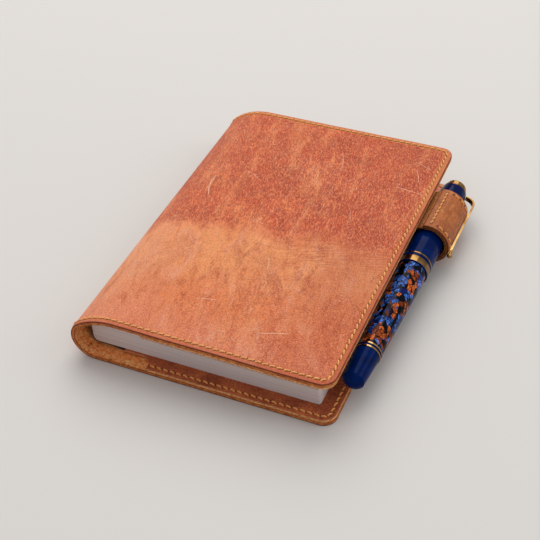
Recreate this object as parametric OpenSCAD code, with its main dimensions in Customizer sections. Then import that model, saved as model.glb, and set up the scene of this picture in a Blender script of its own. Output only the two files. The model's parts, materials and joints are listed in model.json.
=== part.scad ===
// A6 leather notebook cover with a pen loop, its notebook and its fountain pen.
// Millimetres. The origin is the centre of the back cover's underside, +Z up,
// +Y towards the head of the book and +X towards the fore edge.

/* [Cover] */
// Width of the cover beyond the leaves at the fore edge
fore_margin = 7.9; // [7.5:0.1:14]
// Mean width of the cover beyond the leaves at head and tail
end_margin = 9; // [8.5:0.1:14]
// Thickness of the outer leather
leather_t = 1.9; // [1.4:0.1:2]
// Thickness of the pocket leather
lining_t = 1.2; // [0.8:0.1:1.3]
// Radius of the two corners at the fore edge
corner_r = 6; // [4:0.5:12]
// Outer radius of the spine's lower bend
bend_low_r = 10.4; // [9:0.1:11]
// Outer radius of the spine's upper bend
bend_high_r = 29.9; // [26:0.1:34]
// Straight run under the block before the spine starts to bend
bend_start = 9.4; // [9:0.1:12]
// Height of the lower fold line, and depth of the upper one below the top
fold_z = 8; // [7:0.1:9]

/* [Pockets] */
// Distance from the spine side to the pocket's mouth
mouth_x = 20.5; // [18:0.5:28]
// Distance from the spine side to the ends of the mouth, at head and tail
mouth_end_x = 34; // [30:0.5:40]
// Depth of the cut-back ends of the mouth
mouth_end_y = 6.5; // [4.5:0.1:7]
// Radius inside the cut-back ends
mouth_r = 4.5; // [2:0.5:4.5]
// Width of the pocket leather round the notebook's board
pocket_rim = 1.5; // [1:0.1:2]

/* [Seams] */
// Distance of the seam from the leather's edge
seam_inset = 2.5; // [2:0.1:3.5]
// Distance from one stitch to the next
stitch_pitch = 3.1; // [2.5:0.1:4]
// Length of one stitch on the surface
stitch_len = 2.3; // [1.5:0.1:2.4]
// Width of the thread
thread_w = 0.75; // [0.5:0.05:0.9]
// Thickness of the thread
thread_t = 0.3; // [0.2:0.05:0.3]
// Depth of the groove that it lies in
groove_t = 0.36; // [0.34:0.02:0.5]
// Clearance on each side of the thread in its groove
groove_gap = 0.08; // [0.05:0.01:0.15]

/* [Notebook] */
// Page width
page_w = 105; // [100:0.5:106]
// Page height
page_h = 148; // [144:0.5:150]
// Distance from the spine side to the notebook's own spine
book_x = 4.6; // [4.4:0.1:6]
// How far the notebook sits towards the tail from the middle
book_shift = 1.5; // [0:0.1:2]
// Thickness of the notebook's soft cover
board_t = 0.5; // [0.3:0.05:0.6]
// Radius of the notebook's lower spine edge
book_spine_r = 2.6; // [2.2:0.1:5.4]
// Radius of the page corners at the fore edge
page_r = 3.5; // [1:0.5:5]
// Thickness of all the leaves
pages_t = 17.2; // [16:0.1:20]
// Thickness of the leaves that turn with the front cover
turned_t = 5; // [3:0.5:5]

/* [Pen loop] */
// Length of the loop along the pen
loop_len = 29; // [24:0.5:34]
// Inner radius of the loop
loop_r = 8.35; // [8:0.05:9]
// Thickness of the loop's inner leather
liner_t = 0.95; // [0.7:0.05:1.1]
// Thickness of the loop's outer strap
strap_t = 1.2; // [0.9:0.05:1.2]
// Clearance between the loop and the edges of the two covers
loop_clear = 0.33; // [0.3:0.01:1]
// Distance of the loop's centre from the middle of the cover, towards the head
loop_y = 40.5; // [0:0.5:45]
// Length of the strap's tongue between cover and pocket
tongue_len = 6; // [4:0.1:6.2]
// Angle round the loop at which the strap's free end stops
strap_end_a = 103; // [97:1:125]
// Angle round the loop of its seam
loop_seam_a = 85; // [60:1:88]
// Pitch of the loop's stitches
loop_pitch = 2.7; // [2.5:0.1:3.2]
// Angle between the pen and the spine
pen_lean = 1.2; // [0:0.1:2]

/* [Pen cap] */
// Distance from the loop's middle down to the cap's lip
cap_lip = 35.6; // [32:0.1:38]
// Distance from the loop's middle up to the top of the cap body
cap_top = 25.6; // [24:0.1:28]
// Radius of the cap at its lip
cap_r = 7.3; // [7:0.05:7.5]
// Radius of the top of the cap
crown_r = 6.05; // [5.5:0.05:6.5]
// Distance from the loop's middle to where the cap starts to narrow
cap_shoulder = 6; // [0:0.5:12]
// Wall of the cap at its lip
cap_wall = 1; // [0.8:0.05:1.1]
// Width of the broad band
band_w = 3.4; // [2:0.1:5]
// Height of the lip below the broad band
lip_w = 0.4; // [0.3:0.1:1]
// Gap between the broad band and the thin ring
ring_gap = 1.9; // [1:0.1:4]
// Width of the thin rings
ring_w = 0.7; // [0.4:0.05:1]
// Depth at which the rings are let in
ring_in = 0.4; // [0.3:0.05:0.5]
// How far the rings stand proud
ring_out = 0.08; // [0.02:0.01:0.15]
// Radius of the finial
finial_r = 5.1; // [4.5:0.05:5.5]
// Height of the finial
finial_h = 4.1; // [3:0.1:5]

/* [Clip] */
// Thickness of the ring that holds the clip under the finial
clip_ring_t = 0.7; // [0.5:0.05:1]
// Thickness of the clip's arm
clip_t = 0.9; // [0.7:0.05:1.2]
// Width of the clip's arm at its root
clip_root_w = 2.4; // [2:0.1:4]
// Width of the clip's arm at its end
clip_end_w = 1.4; // [1.2:0.1:2.4]
// Distance from the loop's middle down to the middle of the clip's ball
clip_reach = 15.9; // [15.8:0.1:22]
// Radius of the clip's ball
clip_ball_r = 1.2; // [1:0.05:1.6]
// Clearance between the clip and the loop
clip_gap = 0.3; // [0.3:0.05:0.6]
// Angle of the clip below the side of the pen, degrees
clip_a = 12; // [0:1:20]

/* [Pen barrel] */
// Radius of the barrel next to the cap
barrel_r = 6.9; // [6.6:0.05:7.2]
// Radius of the barrel's tail end
barrel_tail_r = 5.7; // [5.4:0.05:6.2]
// Distance from the loop's middle to the tail end of the barrel
barrel_tail = 88; // [84:0.5:92]
// Gap between the cap's lip and the barrel's shoulder
lip_gap = 0.3; // [0.2:0.05:0.5]
// Length of the collar that goes into the cap
collar_len = 9.5; // [8:0.5:12]
// Clearance of the collar in the cap
collar_gap = 0.15; // [0.1:0.01:0.25]
// Radius of the ink chamber
chamber_r = 4.4; // [4:0.05:4.5]
// Length of the grip section
grip_len = 18; // [15:0.5:20]
// Radius of the grip section next to the collar
grip_r = 5.2; // [4.8:0.05:5.4]
// Radius of the grip section's waist
grip_waist_r = 4.5; // [4.2:0.05:4.8]
// Length of the nib outside the grip section
nib_len = 23; // [20:0.5:25]
// Radius of the nib's base
nib_r = 3.4; // [3:0.05:3.6]
// Thickness of the nib's metal
nib_t = 0.3; // [0.2:0.05:0.4]
// Pitch of the feed's fins
fin_pitch = 0.9; // [0.7:0.05:1.2]

/* [Piston filler] */
// Length of the collar with the two tail rings
tail_collar_len = 2.6; // [2:0.1:4]
// Radius of the knob next to the barrel
knob_r = 5.55; // [5:0.05:5.7]
// Radius of the knob at its domed end
knob_end_r = 4.75; // [4.2:0.05:5]
// Length of the knob without its dome
knob_len = 15; // [12:0.5:18]
// Height of the knob's dome
dome_h = 2.7; // [2:0.1:4]
// Radius of the spindle that drives the piston
spindle_r = 1.9; // [1.6:0.05:2]
// Length of the spindle from the barrel's tail
spindle_len = 26; // [24:0.5:28]
// Radius of the piston's rod
rod_r = 3; // [2.8:0.05:3.1]
// Distance from the barrel's tail to the piston's head
piston_back = 28; // [27:0.5:30]
// Length of the piston's seal
seal_len = 5; // [4:0.5:6]
// Running clearance of turning and sliding pieces
run_gap = 0.08; // [0.05:0.01:0.1]

/* [Hidden] */
$fn = 96;
eps = 0.01;

// Heights of the layers, from the table up, and the size of the cover round them
edge_gap = 0.3;
page_gap = 0.3;
board_slope_len = 6;
page_clear = 0.1;
stack_t = leather_t + lining_t;
book_z = stack_t + board_t;
book_top = book_z + pages_t;
turn_z = book_top - turned_t;
cover_t = book_top + page_gap + book_z;
book_x1 = book_x + board_t + page_w;
cover_w = book_x1 + fore_margin;
cover_h = page_h + 2 * end_margin;

// The spine's section is two circular bends that meet smoothly. x runs from the spine side.
high_z = cover_t - bend_high_r;
high_x = bend_start + sqrt(pow(bend_high_r - bend_low_r, 2) - pow(high_z - bend_low_r, 2));
join_a = atan2(bend_low_r - high_z, bend_start - high_x);
fold_low_a = 180 + asin((bend_low_r - fold_z) / bend_low_r);
fold_high_a = 180 - asin((cover_t - fold_z - bend_low_r) / bend_low_r);

// The loop stands midway between the edges of the two covers, just clear of both
liner_r = loop_r + liner_t;
strap_r = liner_r + strap_t;
loop_room = (cover_t - stack_t - leather_t) / 2;
loop_out = sqrt(pow(strap_r + loop_clear, 2) - pow(loop_room, 2));
pen_x = cover_w / 2 + loop_out;
pen_z = leather_t + loop_room;
strap_start_a = -180 + asin((pen_z - stack_t) / liner_r);

// Stations along the pen, from the loop's middle, positive towards the finial
band_s = -cap_lip + lip_w;
ring_s = band_s + band_w + ring_gap;
shoulder_s = -cap_lip - lip_gap;
collar_r = cap_r - cap_wall - collar_gap;
grip_s = shoulder_s + collar_len;
nib_s = grip_s + grip_len;
tail_s = -barrel_tail;
knob_s = tail_s - tail_collar_len;
piston_s = tail_s + piston_back;
inner_cap_wall = 0.8;
inner_cap_r = crown_r - cap_wall;
cap_bore_top = cap_top - 3.5;
stud_r = 2.2;
seal_gap = 0.3;
fit_gap = 0.03;
clip_root_gap = 0.1;
clip_root_len = 0.7;
clip_drop_len = 6;
clip_ball_drop = 0.2;
tenon_len = 7;
nib_seat = 12;
ink_r = 1.5;
journal_r = 2.4;
knob_gap = 0.15;
rod_start = 3;

// Developed length round the outside, from the back fore edge to the front one
u_low = cover_w - bend_start;
u_join = u_low + bend_low_r * (270 - join_a) * PI / 180;
u_high = u_join + bend_high_r * (join_a - 90) * PI / 180;
u_end = u_high + cover_w - high_x;
u_fold_low = u_low + bend_low_r * (270 - fold_low_a) * PI / 180;
u_fold_high = u_low + bend_low_r * (270 - fold_high_a) * PI / 180;
edge_runs = round((u_end - 2 * corner_r) / stitch_pitch);
fore_runs = round((cover_h - 2 * corner_r) / stitch_pitch);
corner_runs = 2;
groove_w = thread_w + 2 * groove_gap;
// Largest angle between two points of a bend
bend_step = 4;
// Length over which the straight grooves run on into the fore edge's groove
groove_lap = 10;
// Number of straight stretches in a turned curve
curve_steps = 10;

// ---- helpers ----

// x from here on is measured from the spine side of the cover
module from_spine() {
    translate([-cover_w / 2, 0, 0]) children();
}

// Turns a piece of the back into its mirror image on the front
module on_front() {
    translate([0, 0, cover_t]) mirror([0, 0, 1]) children();
}

// The z axis becomes the pen's axis, from the loop's middle towards the finial
module on_pen() {
    translate([pen_x, loop_y, pen_z]) rotate([0, 0, -pen_lean]) rotate([-90, 0, 0]) children();
}

// A curved slab between two radii round an axis along Y, between two angles in the XZ plane
module bend(x, z, r_in, r_out, a0, a1, y0, y1) {
    translate([x, y1, z]) rotate([90, 0, 0]) rotate([0, 0, a0])
        rotate_extrude(angle = a1 - a0) translate([r_in, 0]) square([r_out - r_in, y1 - y0]);
}

// Outline of the leather from x0 to the fore edge, drawn in by inset
module leaf(x0, inset) {
    y = cover_h / 2;
    translate([x0, -y + inset]) square([cover_w - corner_r - x0, 2 * (y - inset)]);
    translate([x0, -y + corner_r]) square([cover_w - inset - x0, 2 * (y - corner_r)]);
    for (side = [-1, 1])
        translate([cover_w - corner_r, side * (y - corner_r)]) circle(corner_r - inset);
}

// A flat layer with the leather's outline
module layer(x0, inset, z0, z1) {
    translate([0, 0, z0]) linear_extrude(z1 - z0) leaf(x0, inset);
}

// A groove in a flat face for the seam, from z0 to z1
module groove(x0, z0, z1) {
    difference() {
        layer(x0, seam_inset - groove_w / 2, z0, z1);
        layer(x0 - 1, seam_inset + groove_w / 2, z0 - 1, z1 + 1);
    }
}

// Points along an arc; first is 0 to keep the arc's first point and 1 to leave it out
function arc_points(x, z, r, a0, a1, first) =
    let (n = ceil(abs(a1 - a0) / bend_step))
    [for (i = [first : n]) [x + r * cos(a0 + (a1 - a0) * i / n), z + r * sin(a0 + (a1 - a0) * i / n)]];

// The leather's section from the back fore edge to the front one, at a depth below the outside;
// x1 is where its flat parts stop
function back_points(d, x1) = concat(
    [[x1, d]], arc_points(bend_start, bend_low_r, bend_low_r - d, 270, fold_low_a, 0));
function spine_points(d) =
    arc_points(bend_start, bend_low_r, bend_low_r - d, fold_low_a, fold_high_a, 0);
function front_points(d, x1) = concat(
    arc_points(bend_start, bend_low_r, bend_low_r - d, fold_high_a, join_a, 0),
    arc_points(high_x, high_z, bend_high_r - d, join_a, 90, 1), [[x1, cover_t - d]]);
function backwards(points) = [for (i = [len(points) - 1 : -1 : 0]) points[i]];

// The solid between two such lines, from y0 to y1
module strip(outer, inner, y0, y1) {
    translate([0, y1, 0]) rotate([90, 0, 0]) linear_extrude(y1 - y0)
        polygon(concat(outer, backwards(inner)));
}

// One piece of the outer leather with its rounded corners, less what its children cut
module leather(outer, inner) {
    y = cover_h / 2;
    difference() {
        intersection() {
            strip(outer, inner, -y, y);
            translate([0, 0, -cover_t]) linear_extrude(3 * cover_t) leaf(-cover_t, 0);
        }
        children();
    }
}

// The seam's groove along head and tail
module edge_grooves(outer, floor_line) {
    for (side = [-1, 1]) {
        y = side * (cover_h / 2 - seam_inset);
        strip(outer, floor_line, y - groove_w / 2, y + groove_w / 2);
    }
}

// A flat layer of the notebook: square at the spine, rounded at the fore edge
module book_sheet(x0, z0, z1, grow) {
    y = page_h / 2 + grow;
    r = page_r + grow;
    x1 = book_x1 + grow;
    translate([0, -book_shift, z0]) linear_extrude(z1 - z0) {
        translate([x0, -y]) square([x1 - r - x0, 2 * y]);
        translate([x0, -y + r]) square([x1 - x0, 2 * (y - r)]);
        for (side = [-1, 1]) translate([x1 - r, side * (y - r)]) circle(r);
    }
}

// ---- leather ----

module cover_back() {
    color("peru") from_spine() leather(back_points(0, cover_w), back_points(leather_t, cover_w)) {
        edge_grooves(back_points(0, cover_w / 2), back_points(groove_t, cover_w / 2));
        groove(cover_w / 2 - groove_lap, -1, groove_t);
    }
}

module cover_spine() {
    color("sandybrown") from_spine() leather(spine_points(0), spine_points(leather_t))
        edge_grooves(spine_points(0), spine_points(groove_t));
}

module cover_front() {
    color("peru") from_spine() leather(front_points(0, cover_w), front_points(leather_t, cover_w)) {
        edge_grooves(front_points(0, cover_w / 2), front_points(groove_t, cover_w / 2));
        on_front() groove(cover_w / 2 - groove_lap, -1, groove_t);
    }
}

// The mouth of a pocket is cut back at head and tail
module mouth_ends() {
    y = cover_h / 2;
    for (side = [0, 1]) mirror([0, side, 0]) translate([0, -y, leather_t - 1])
        linear_extrude(lining_t + 3) {
            translate([mouth_x - 1, -1])
                square([mouth_end_x - mouth_x + 1 - mouth_r, mouth_end_y + 1]);
            translate([mouth_x - 1, -1])
                square([mouth_end_x - mouth_x + 1, mouth_end_y + 1 - mouth_r]);
            translate([mouth_end_x - mouth_r, mouth_end_y - mouth_r]) circle(mouth_r);
        }
}

// Pocket leather, sewn on three sides over the notebook's board
module pocket() {
    difference() {
        union() {
            layer(mouth_x, 0, leather_t, stack_t);
            book_sheet(mouth_x, stack_t, book_z, pocket_rim);
        }
        book_sheet(mouth_x - 1, leather_t - 1, leather_t + board_t, edge_gap);
        mouth_ends();
        groove(mouth_x - 1, stack_t - groove_t, stack_t + 1);
    }
}

module pocket_back() {
    color("saddlebrown") difference() {
        from_spine() pocket();
        tongue(edge_gap, 1);
    }
}

module pocket_front() {
    color("saddlebrown") from_spine() on_front() pocket();
}

// ---- seams ----

// One stitch on the outside at the developed place u; local x runs along the seam
module on_wrap(u) {
    if (u < u_low)
        translate([cover_w - u, 0, 0]) mirror([0, 0, 1]) children();
    else if (u < u_join)
        translate([bend_start, 0, bend_low_r])
            rotate([0, (u - u_low) / bend_low_r * 180 / PI, 0])
                translate([0, 0, -bend_low_r]) mirror([0, 0, 1]) children();
    else if (u < u_high)
        translate([high_x, 0, high_z])
            rotate([0, 270 - join_a + (u - u_join) / bend_high_r * 180 / PI, 0])
                translate([0, 0, -bend_high_r]) mirror([0, 0, 1]) children();
    else
        translate([cover_w - u_end + u, 0, cover_t]) children();
}

// The thread in the groove of a surface at z = 0
module stitch() {
    translate([-stitch_len / 2, -thread_w / 2, -groove_t]) cube([stitch_len, thread_w, thread_t]);
}

// Stitches along head and tail whose places lie between two developed lengths
module edge_stitches(u0, u1) {
    run = (u_end - 2 * corner_r) / edge_runs;
    for (i = [0 : edge_runs - 1], side = [-1, 1]) {
        u = corner_r + (i + 0.5) * run;
        if (u - stitch_len / 2 > u0 && u + stitch_len / 2 < u1)
            translate([0, side * (cover_h / 2 - seam_inset), 0]) on_wrap(u) stitch();
    }
}

// Stitches along the fore edge and round its corners, on a face that looks up at z = 0
module fore_stitches(gap_y0, gap_y1) {
    run = (cover_h - 2 * corner_r) / fore_runs;
    for (i = [0 : fore_runs - 1]) {
        y = -cover_h / 2 + corner_r + (i + 0.5) * run;
        if (y + stitch_len / 2 < gap_y0 || y - stitch_len / 2 > gap_y1)
            translate([cover_w - seam_inset, y, 0]) rotate([0, 0, 90]) stitch();
    }
    for (side = [-1, 1], i = [0 : corner_runs - 1])
        translate([cover_w - corner_r, side * (cover_h / 2 - corner_r), 0])
            rotate([0, 0, side * (i + 0.5) * 90 / corner_runs])
                translate([corner_r - seam_inset, 0, 0]) rotate([0, 0, 90]) stitch();
}

// Stitches on the pocket leather along head and tail
module pocket_stitches() {
    runs = round((cover_w - corner_r - mouth_end_x) / stitch_pitch);
    for (i = [0 : runs - 1], side = [-1, 1])
        translate([cover_w - corner_r - (i + 0.5) * stitch_pitch,
                   side * (cover_h / 2 - seam_inset), stack_t])
            if ((i + 1) * stitch_pitch < cover_w - corner_r - mouth_end_x) stitch();
}

module seam_back() {
    half = loop_len / 2 + tongue_len * sin(pen_lean) + edge_gap;
    color("goldenrod") from_spine() {
        edge_stitches(0, u_fold_low);
        mirror([0, 0, 1]) fore_stitches(cover_h, cover_h);
        translate([0, 0, stack_t]) fore_stitches(loop_y - half, loop_y + half);
        pocket_stitches();
    }
}

module seam_spine() {
    color("goldenrod") from_spine() edge_stitches(u_fold_low, u_fold_high);
}

module seam_front() {
    color("goldenrod") from_spine() {
        edge_stitches(u_fold_high, u_end);
        translate([0, 0, cover_t]) fore_stitches(cover_h, cover_h);
        on_front() {
            translate([0, 0, stack_t]) fore_stitches(cover_h, cover_h);
            pocket_stitches();
        }
    }
}

// ---- pen loop ----

// The strap's tongue lies on the outer leather, in a gap of the pocket's edge
module tongue(gap, up) {
    translate([pen_x, loop_y, leather_t]) rotate([0, 0, -pen_lean])
        translate([-loop_out - tongue_len - gap, -loop_len / 2 - gap, 0])
            cube([tongue_len + loop_out + liner_r * cos(strap_start_a) + 2 * gap,
                  loop_len + 2 * gap, lining_t + up]);
}

// Part of a tube round the pen between two angles, as seen along the pen from its tail
module loop_arc(r_in, r_out, a0, a1, half) {
    on_pen() translate([0, 0, -half]) rotate([0, 0, -a1])
        rotate_extrude(angle = a1 - a0) translate([r_in, 0]) square([r_out - r_in, 2 * half]);
}

// The thread's place on the strap
module on_strap(s) {
    on_pen() rotate([0, 0, -loop_seam_a]) translate([strap_r, 0, s])
        rotate([0, 90, 0]) children();
}

module loop_strap() {
    color("chocolate") difference() {
        union() {
            tongue(0, 0);
            loop_arc(liner_r, strap_r, strap_start_a, strap_end_a, loop_len / 2);
        }
        on_pen() cylinder(h = 2 * loop_len, r = liner_r, center = true);
        on_strap(0) translate([-loop_len / 2 + 1, -groove_w / 2, -groove_t])
            cube([loop_len - 2, groove_w, groove_t + 1]);
    }
}

module loop_liner() {
    color("sienna") on_pen() translate([0, 0, -loop_len / 2]) difference() {
        cylinder(h = loop_len, r = liner_r);
        translate([0, 0, -1]) cylinder(h = loop_len + 2, r = loop_r);
    }
}

module loop_seam() {
    count = floor((loop_len - 4) / loop_pitch);
    color("goldenrod") for (i = [0 : count - 1])
        on_strap((i - (count - 1) / 2) * loop_pitch) stitch();
}

// ---- notebook ----

module notebook_cover_back() {
    y = page_h / 2;
    x = book_x + book_spine_r;
    z = stack_t + book_spine_r;
    slope_x = mouth_x - edge_gap;
    low = leather_t;
    color("dimgray") from_spine() {
        book_sheet(slope_x, low, low + board_t, 0);
        translate([0, -book_shift, 0]) {
            bend(x, z, book_spine_r - board_t, book_spine_r, 180, 270, -y, y);
            translate([book_x, -y, z]) cube([board_t, page_h, turn_z - z]);
            translate([0, y, 0]) rotate([90, 0, 0]) linear_extrude(page_h)
                polygon([[x, stack_t], [slope_x - board_slope_len, stack_t], [slope_x, low],
                         [slope_x, low + board_t], [slope_x - board_slope_len, book_z], [x, book_z]]);
        }
    }
}

module notebook_cover_front() {
    color("dimgray") from_spine() on_front() book_sheet(high_x, leather_t, leather_t + board_t, 0);
}

module page_block() {
    r = book_spine_r - board_t - page_clear;
    x = book_x + book_spine_r;
    z = stack_t + book_spine_r;
    color("whitesmoke") from_spine() difference() {
        book_sheet(book_x + board_t, book_z, turn_z, 0);
        translate([0, page_h, 0]) rotate([90, 0, 0]) linear_extrude(2 * page_h) difference() {
            translate([book_x - 1, book_z - 1]) square(book_spine_r + 1);
            translate([x, z]) circle(r);
        }
    }
}

// Section of the turned leaves, whose spine edge follows the inside of the upper bend
module leaves_section(inset) {
    intersection() {
        translate([book_x + inset, turn_z]) square([cover_w, turned_t]);
        union() {
            translate([high_x, high_z]) circle(bend_high_r - leather_t - edge_gap - inset);
            translate([high_x, 0]) square([cover_w, cover_t]);
        }
    }
}

module front_leaves() {
    color("white") from_spine() intersection() {
        book_sheet(book_x + board_t, turn_z, book_top, 0);
        translate([0, page_h, 0]) rotate([90, 0, 0]) linear_extrude(2 * page_h) leaves_section(board_t);
    }
}

// The notebook's soft cover where it goes round the spine edge of the turned leaves
module notebook_cover_fold() {
    y = page_h / 2;
    color("dimgray") from_spine() translate([0, y - book_shift, 0]) rotate([90, 0, 0])
        linear_extrude(page_h) intersection() {
            difference() {
                leaves_section(0);
                leaves_section(board_t);
            }
            square([high_x - board_t, cover_t]);
        }
}

// ---- pen: cap ----

// Points [radius, station] of a turned outline that leaves one radius and bends to another
function curve_points(s0, r0, s1, r1, power) =
    [for (i = [0 : curve_steps]) let (t = i / curve_steps)
        [r0 + (r1 - r0) * pow(t, power), s0 + (s1 - s0) * t]];

module cap_body() {
    bore = cap_r - cap_wall;
    color("navy") on_pen() difference() {
        rotate_extrude() polygon(concat([[0, -cap_lip], [cap_r, -cap_lip]],
            curve_points(cap_shoulder, cap_r, cap_top, crown_r, 2), [[0, cap_top]]));
        translate([0, 0, -cap_lip - 1]) cylinder(h = nib_s + cap_lip + 1, r = bore);
        translate([0, 0, nib_s - eps]) cylinder(h = cap_bore_top - nib_s + eps, r = inner_cap_r);
        translate([0, 0, cap_bore_top - 1]) cylinder(h = cap_top - cap_bore_top + 2, r = stud_r);
        for (ring = [[band_s, band_w], [ring_s, ring_w]]) translate([0, 0, ring[0]])
            difference() {
                cylinder(h = ring[1], r = cap_r + 1);
                translate([0, 0, -1]) cylinder(h = ring[1] + 2, r = cap_r - ring_in);
            }
    }
}

// It closes on the front of the grip section and keeps the nib from drying
module inner_cap() {
    mouth = nib_s + seal_gap;
    color("black") on_pen() difference() {
        translate([0, 0, mouth]) cylinder(h = cap_bore_top - mouth, r = inner_cap_r - fit_gap);
        translate([0, 0, mouth - 1])
            cylinder(h = cap_bore_top - inner_cap_wall - mouth + 1, r = inner_cap_r - inner_cap_wall);
        cylinder(h = cap_top, r = stud_r);
    }
}

// A ring let into the cap
module inlay(s, w) {
    translate([0, 0, s]) difference() {
        cylinder(h = w, r = cap_r + ring_out);
        translate([0, 0, -1]) cylinder(h = w + 2, r = cap_r - ring_in);
    }
}

module cap_band() {
    color("gold") on_pen() inlay(band_s, band_w);
}

module cap_ring() {
    color("gold") on_pen() inlay(ring_s, ring_w);
}

module clip_ring() {
    color("gold") on_pen() translate([0, 0, cap_top]) difference() {
        cylinder(h = clip_ring_t, r = crown_r);
        translate([0, 0, -1]) cylinder(h = clip_ring_t + 2, r = stud_r);
    }
}

// A low polished drum with a rounded edge, screwed into the cap
module cap_finial() {
    edge_r = 1.2;
    color("gold") on_pen() {
        translate([0, 0, cap_top + clip_ring_t]) rotate_extrude() {
            square([finial_r, finial_h - edge_r]);
            square([finial_r - edge_r, finial_h]);
            intersection() {
                translate([finial_r - edge_r, finial_h - edge_r]) circle(edge_r);
                square([finial_r, finial_h]);
            }
        }
        translate([0, 0, cap_bore_top - inner_cap_wall])
            cylinder(h = cap_top + clip_ring_t - cap_bore_top + inner_cap_wall, r = stud_r - fit_gap);
    }
}

// The arm leaves the ring, turns down over the loop's end and runs along the strap
module clip() {
    inner_x = strap_r + clip_gap;
    bend_r = inner_x + clip_t - crown_r - clip_root_gap - clip_root_len;
    top_s = cap_top + clip_ring_t;
    turn_x = inner_x + clip_t - bend_r;
    turn_s = top_s - bend_r;
    ball_x = inner_x + clip_ball_r - clip_ball_drop;
    drop_end_r = clip_end_w / 3;
    drop_tilt = atan((ball_x - inner_x - clip_t / 2) / clip_drop_len);
    color("gold") on_pen() rotate([0, 0, clip_a]) {
        intersection() {
            rotate([90, 0, 0]) linear_extrude(clip_root_w + 2, center = true) {
                translate([crown_r + clip_root_gap, top_s - clip_ring_t])
                    square([turn_x - crown_r - clip_root_gap + eps, clip_ring_t]);
                difference() {
                    translate([turn_x, turn_s]) circle(bend_r);
                    translate([turn_x, turn_s]) circle(bend_r - clip_t);
                    translate([turn_x - 2 * bend_r, turn_s - 2 * bend_r])
                        square([2 * bend_r, 4 * bend_r]);
                    translate([turn_x - bend_r, turn_s - 2 * bend_r]) square([3 * bend_r, 2 * bend_r]);
                }
                translate([inner_x, -clip_reach]) square([clip_t, clip_reach + turn_s]);
            }
            rotate([90, 0, 90]) linear_extrude(2 * strap_r)
                polygon([[-clip_end_w / 2, -clip_reach], [clip_end_w / 2, -clip_reach],
                         [clip_root_w / 2, top_s], [-clip_root_w / 2, top_s]]);
        }
        difference() {
            translate([ball_x, 0, -clip_reach]) {
                sphere(clip_ball_r);
                rotate([0, -drop_tilt, 0]) cylinder(h = clip_drop_len, r1 = clip_ball_r, r2 = drop_end_r);
            }
            translate([inner_x - 2 * clip_ball_r, -clip_ball_r, clip_ball_r - clip_reach])
                cube([2 * clip_ball_r, 2 * clip_ball_r, clip_drop_len]);
        }
    }
}

// ---- pen: barrel ----

module barrel() {
    color("steelblue") on_pen() difference() {
        union() {
            translate([0, 0, shoulder_s - eps]) cylinder(h = collar_len + eps, r = collar_r);
            rotate_extrude() polygon(concat([[0, shoulder_s]],
                curve_points(shoulder_s, barrel_r, tail_s, barrel_tail_r, 1.4), [[0, tail_s]]));
        }
        translate([0, 0, tail_s - 1]) cylinder(h = grip_s - tail_s + 2, r = chamber_r);
    }
}

// Turned to a waist for the fingers, with a tenon in the barrel and a seat for the nib
module grip_section() {
    waist_s = grip_s + grip_len * 2 / 3;
    flare_r = grip_waist_r + (grip_r - grip_waist_r) / 4;
    color("midnightblue") on_pen() difference() {
        union() {
            rotate_extrude() polygon(concat([[0, nib_s]],
                backwards(curve_points(waist_s, grip_waist_r, nib_s, flare_r, 2)),
                curve_points(waist_s, grip_waist_r, grip_s + ring_w, grip_r, 2),
                [[0, grip_s + ring_w]]));
            translate([0, 0, grip_s - tenon_len])
                cylinder(h = tenon_len + ring_w + 1, r = chamber_r - fit_gap);
        }
        translate([0, 0, nib_s - nib_seat]) cylinder(h = nib_seat + 1, r = nib_r + fit_gap);
        translate([0, 0, grip_s - tenon_len - 1]) cylinder(h = grip_len + tenon_len, r = ink_r);
    }
}

module section_ring() {
    color("gold") on_pen() translate([0, 0, grip_s]) difference() {
        cylinder(h = ring_w, r = grip_r + ring_out);
        translate([0, 0, -1]) cylinder(h = ring_w + 2, r = chamber_r);
    }
}

// A round ink feed, cut away below towards its tip, with fins across its underside
module feed() {
    r = nib_r - nib_t - fit_gap;
    tip = nib_len - 4;
    fins = floor(tip * 0.45 / fin_pitch);
    slope = atan2(2 * r - 0.8, tip * 0.6);
    color("black") on_pen() translate([0, 0, nib_s]) difference() {
        translate([0, 0, -nib_seat]) cylinder(h = nib_seat + tip, r = r);
        translate([0, r, tip * 0.4]) rotate([slope, 0, 0])
            translate([-r - 1, 0, -1]) cube([2 * r + 2, 4 * r, tip + 4]);
        for (i = [0 : fins - 1])
            translate([-r - 1, 0.6, 1.2 + i * fin_pitch]) cube([2 * r + 2, 2 * r, fin_pitch / 2]);
    }
}

// A shell over the feed that narrows to its tip, with a breather hole and a slit
module nib() {
    base_w = nib_r * 0.94;
    tip_w = 0.35;
    hole_s = 8;
    color("gold") on_pen() translate([0, 0, nib_s]) difference() {
        intersection() {
            translate([0, 0, -nib_seat / 2]) difference() {
                cylinder(h = nib_len + nib_seat / 2, r = nib_r);
                translate([0, 0, -1]) cylinder(h = nib_len + nib_seat + 2, r = nib_r - nib_t);
            }
            rotate([90, 0, 0]) linear_extrude(2 * nib_r)
                polygon([[-base_w, -nib_seat / 2], [base_w, -nib_seat / 2], [base_w, 4],
                         [base_w * 0.62, nib_len * 0.55], [tip_w, nib_len],
                         [-tip_w, nib_len], [-base_w * 0.62, nib_len * 0.55], [-base_w, 4]]);
        }
        translate([0, 0, hole_s]) rotate([90, 0, 0]) cylinder(h = 2 * nib_r, r = 0.7);
        translate([-0.08, -2 * nib_r, hole_s]) cube([0.16, 2 * nib_r, nib_len]);
    }
}

module tail_collar() {
    color("navy") on_pen() translate([0, 0, knob_s]) difference() {
        cylinder(h = tail_collar_len, r = barrel_tail_r - 0.2);
        tail_ring_spaces(1);
        translate([0, 0, -1]) cylinder(h = tail_collar_len + 2, r = journal_r + run_gap);
    }
}

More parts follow.
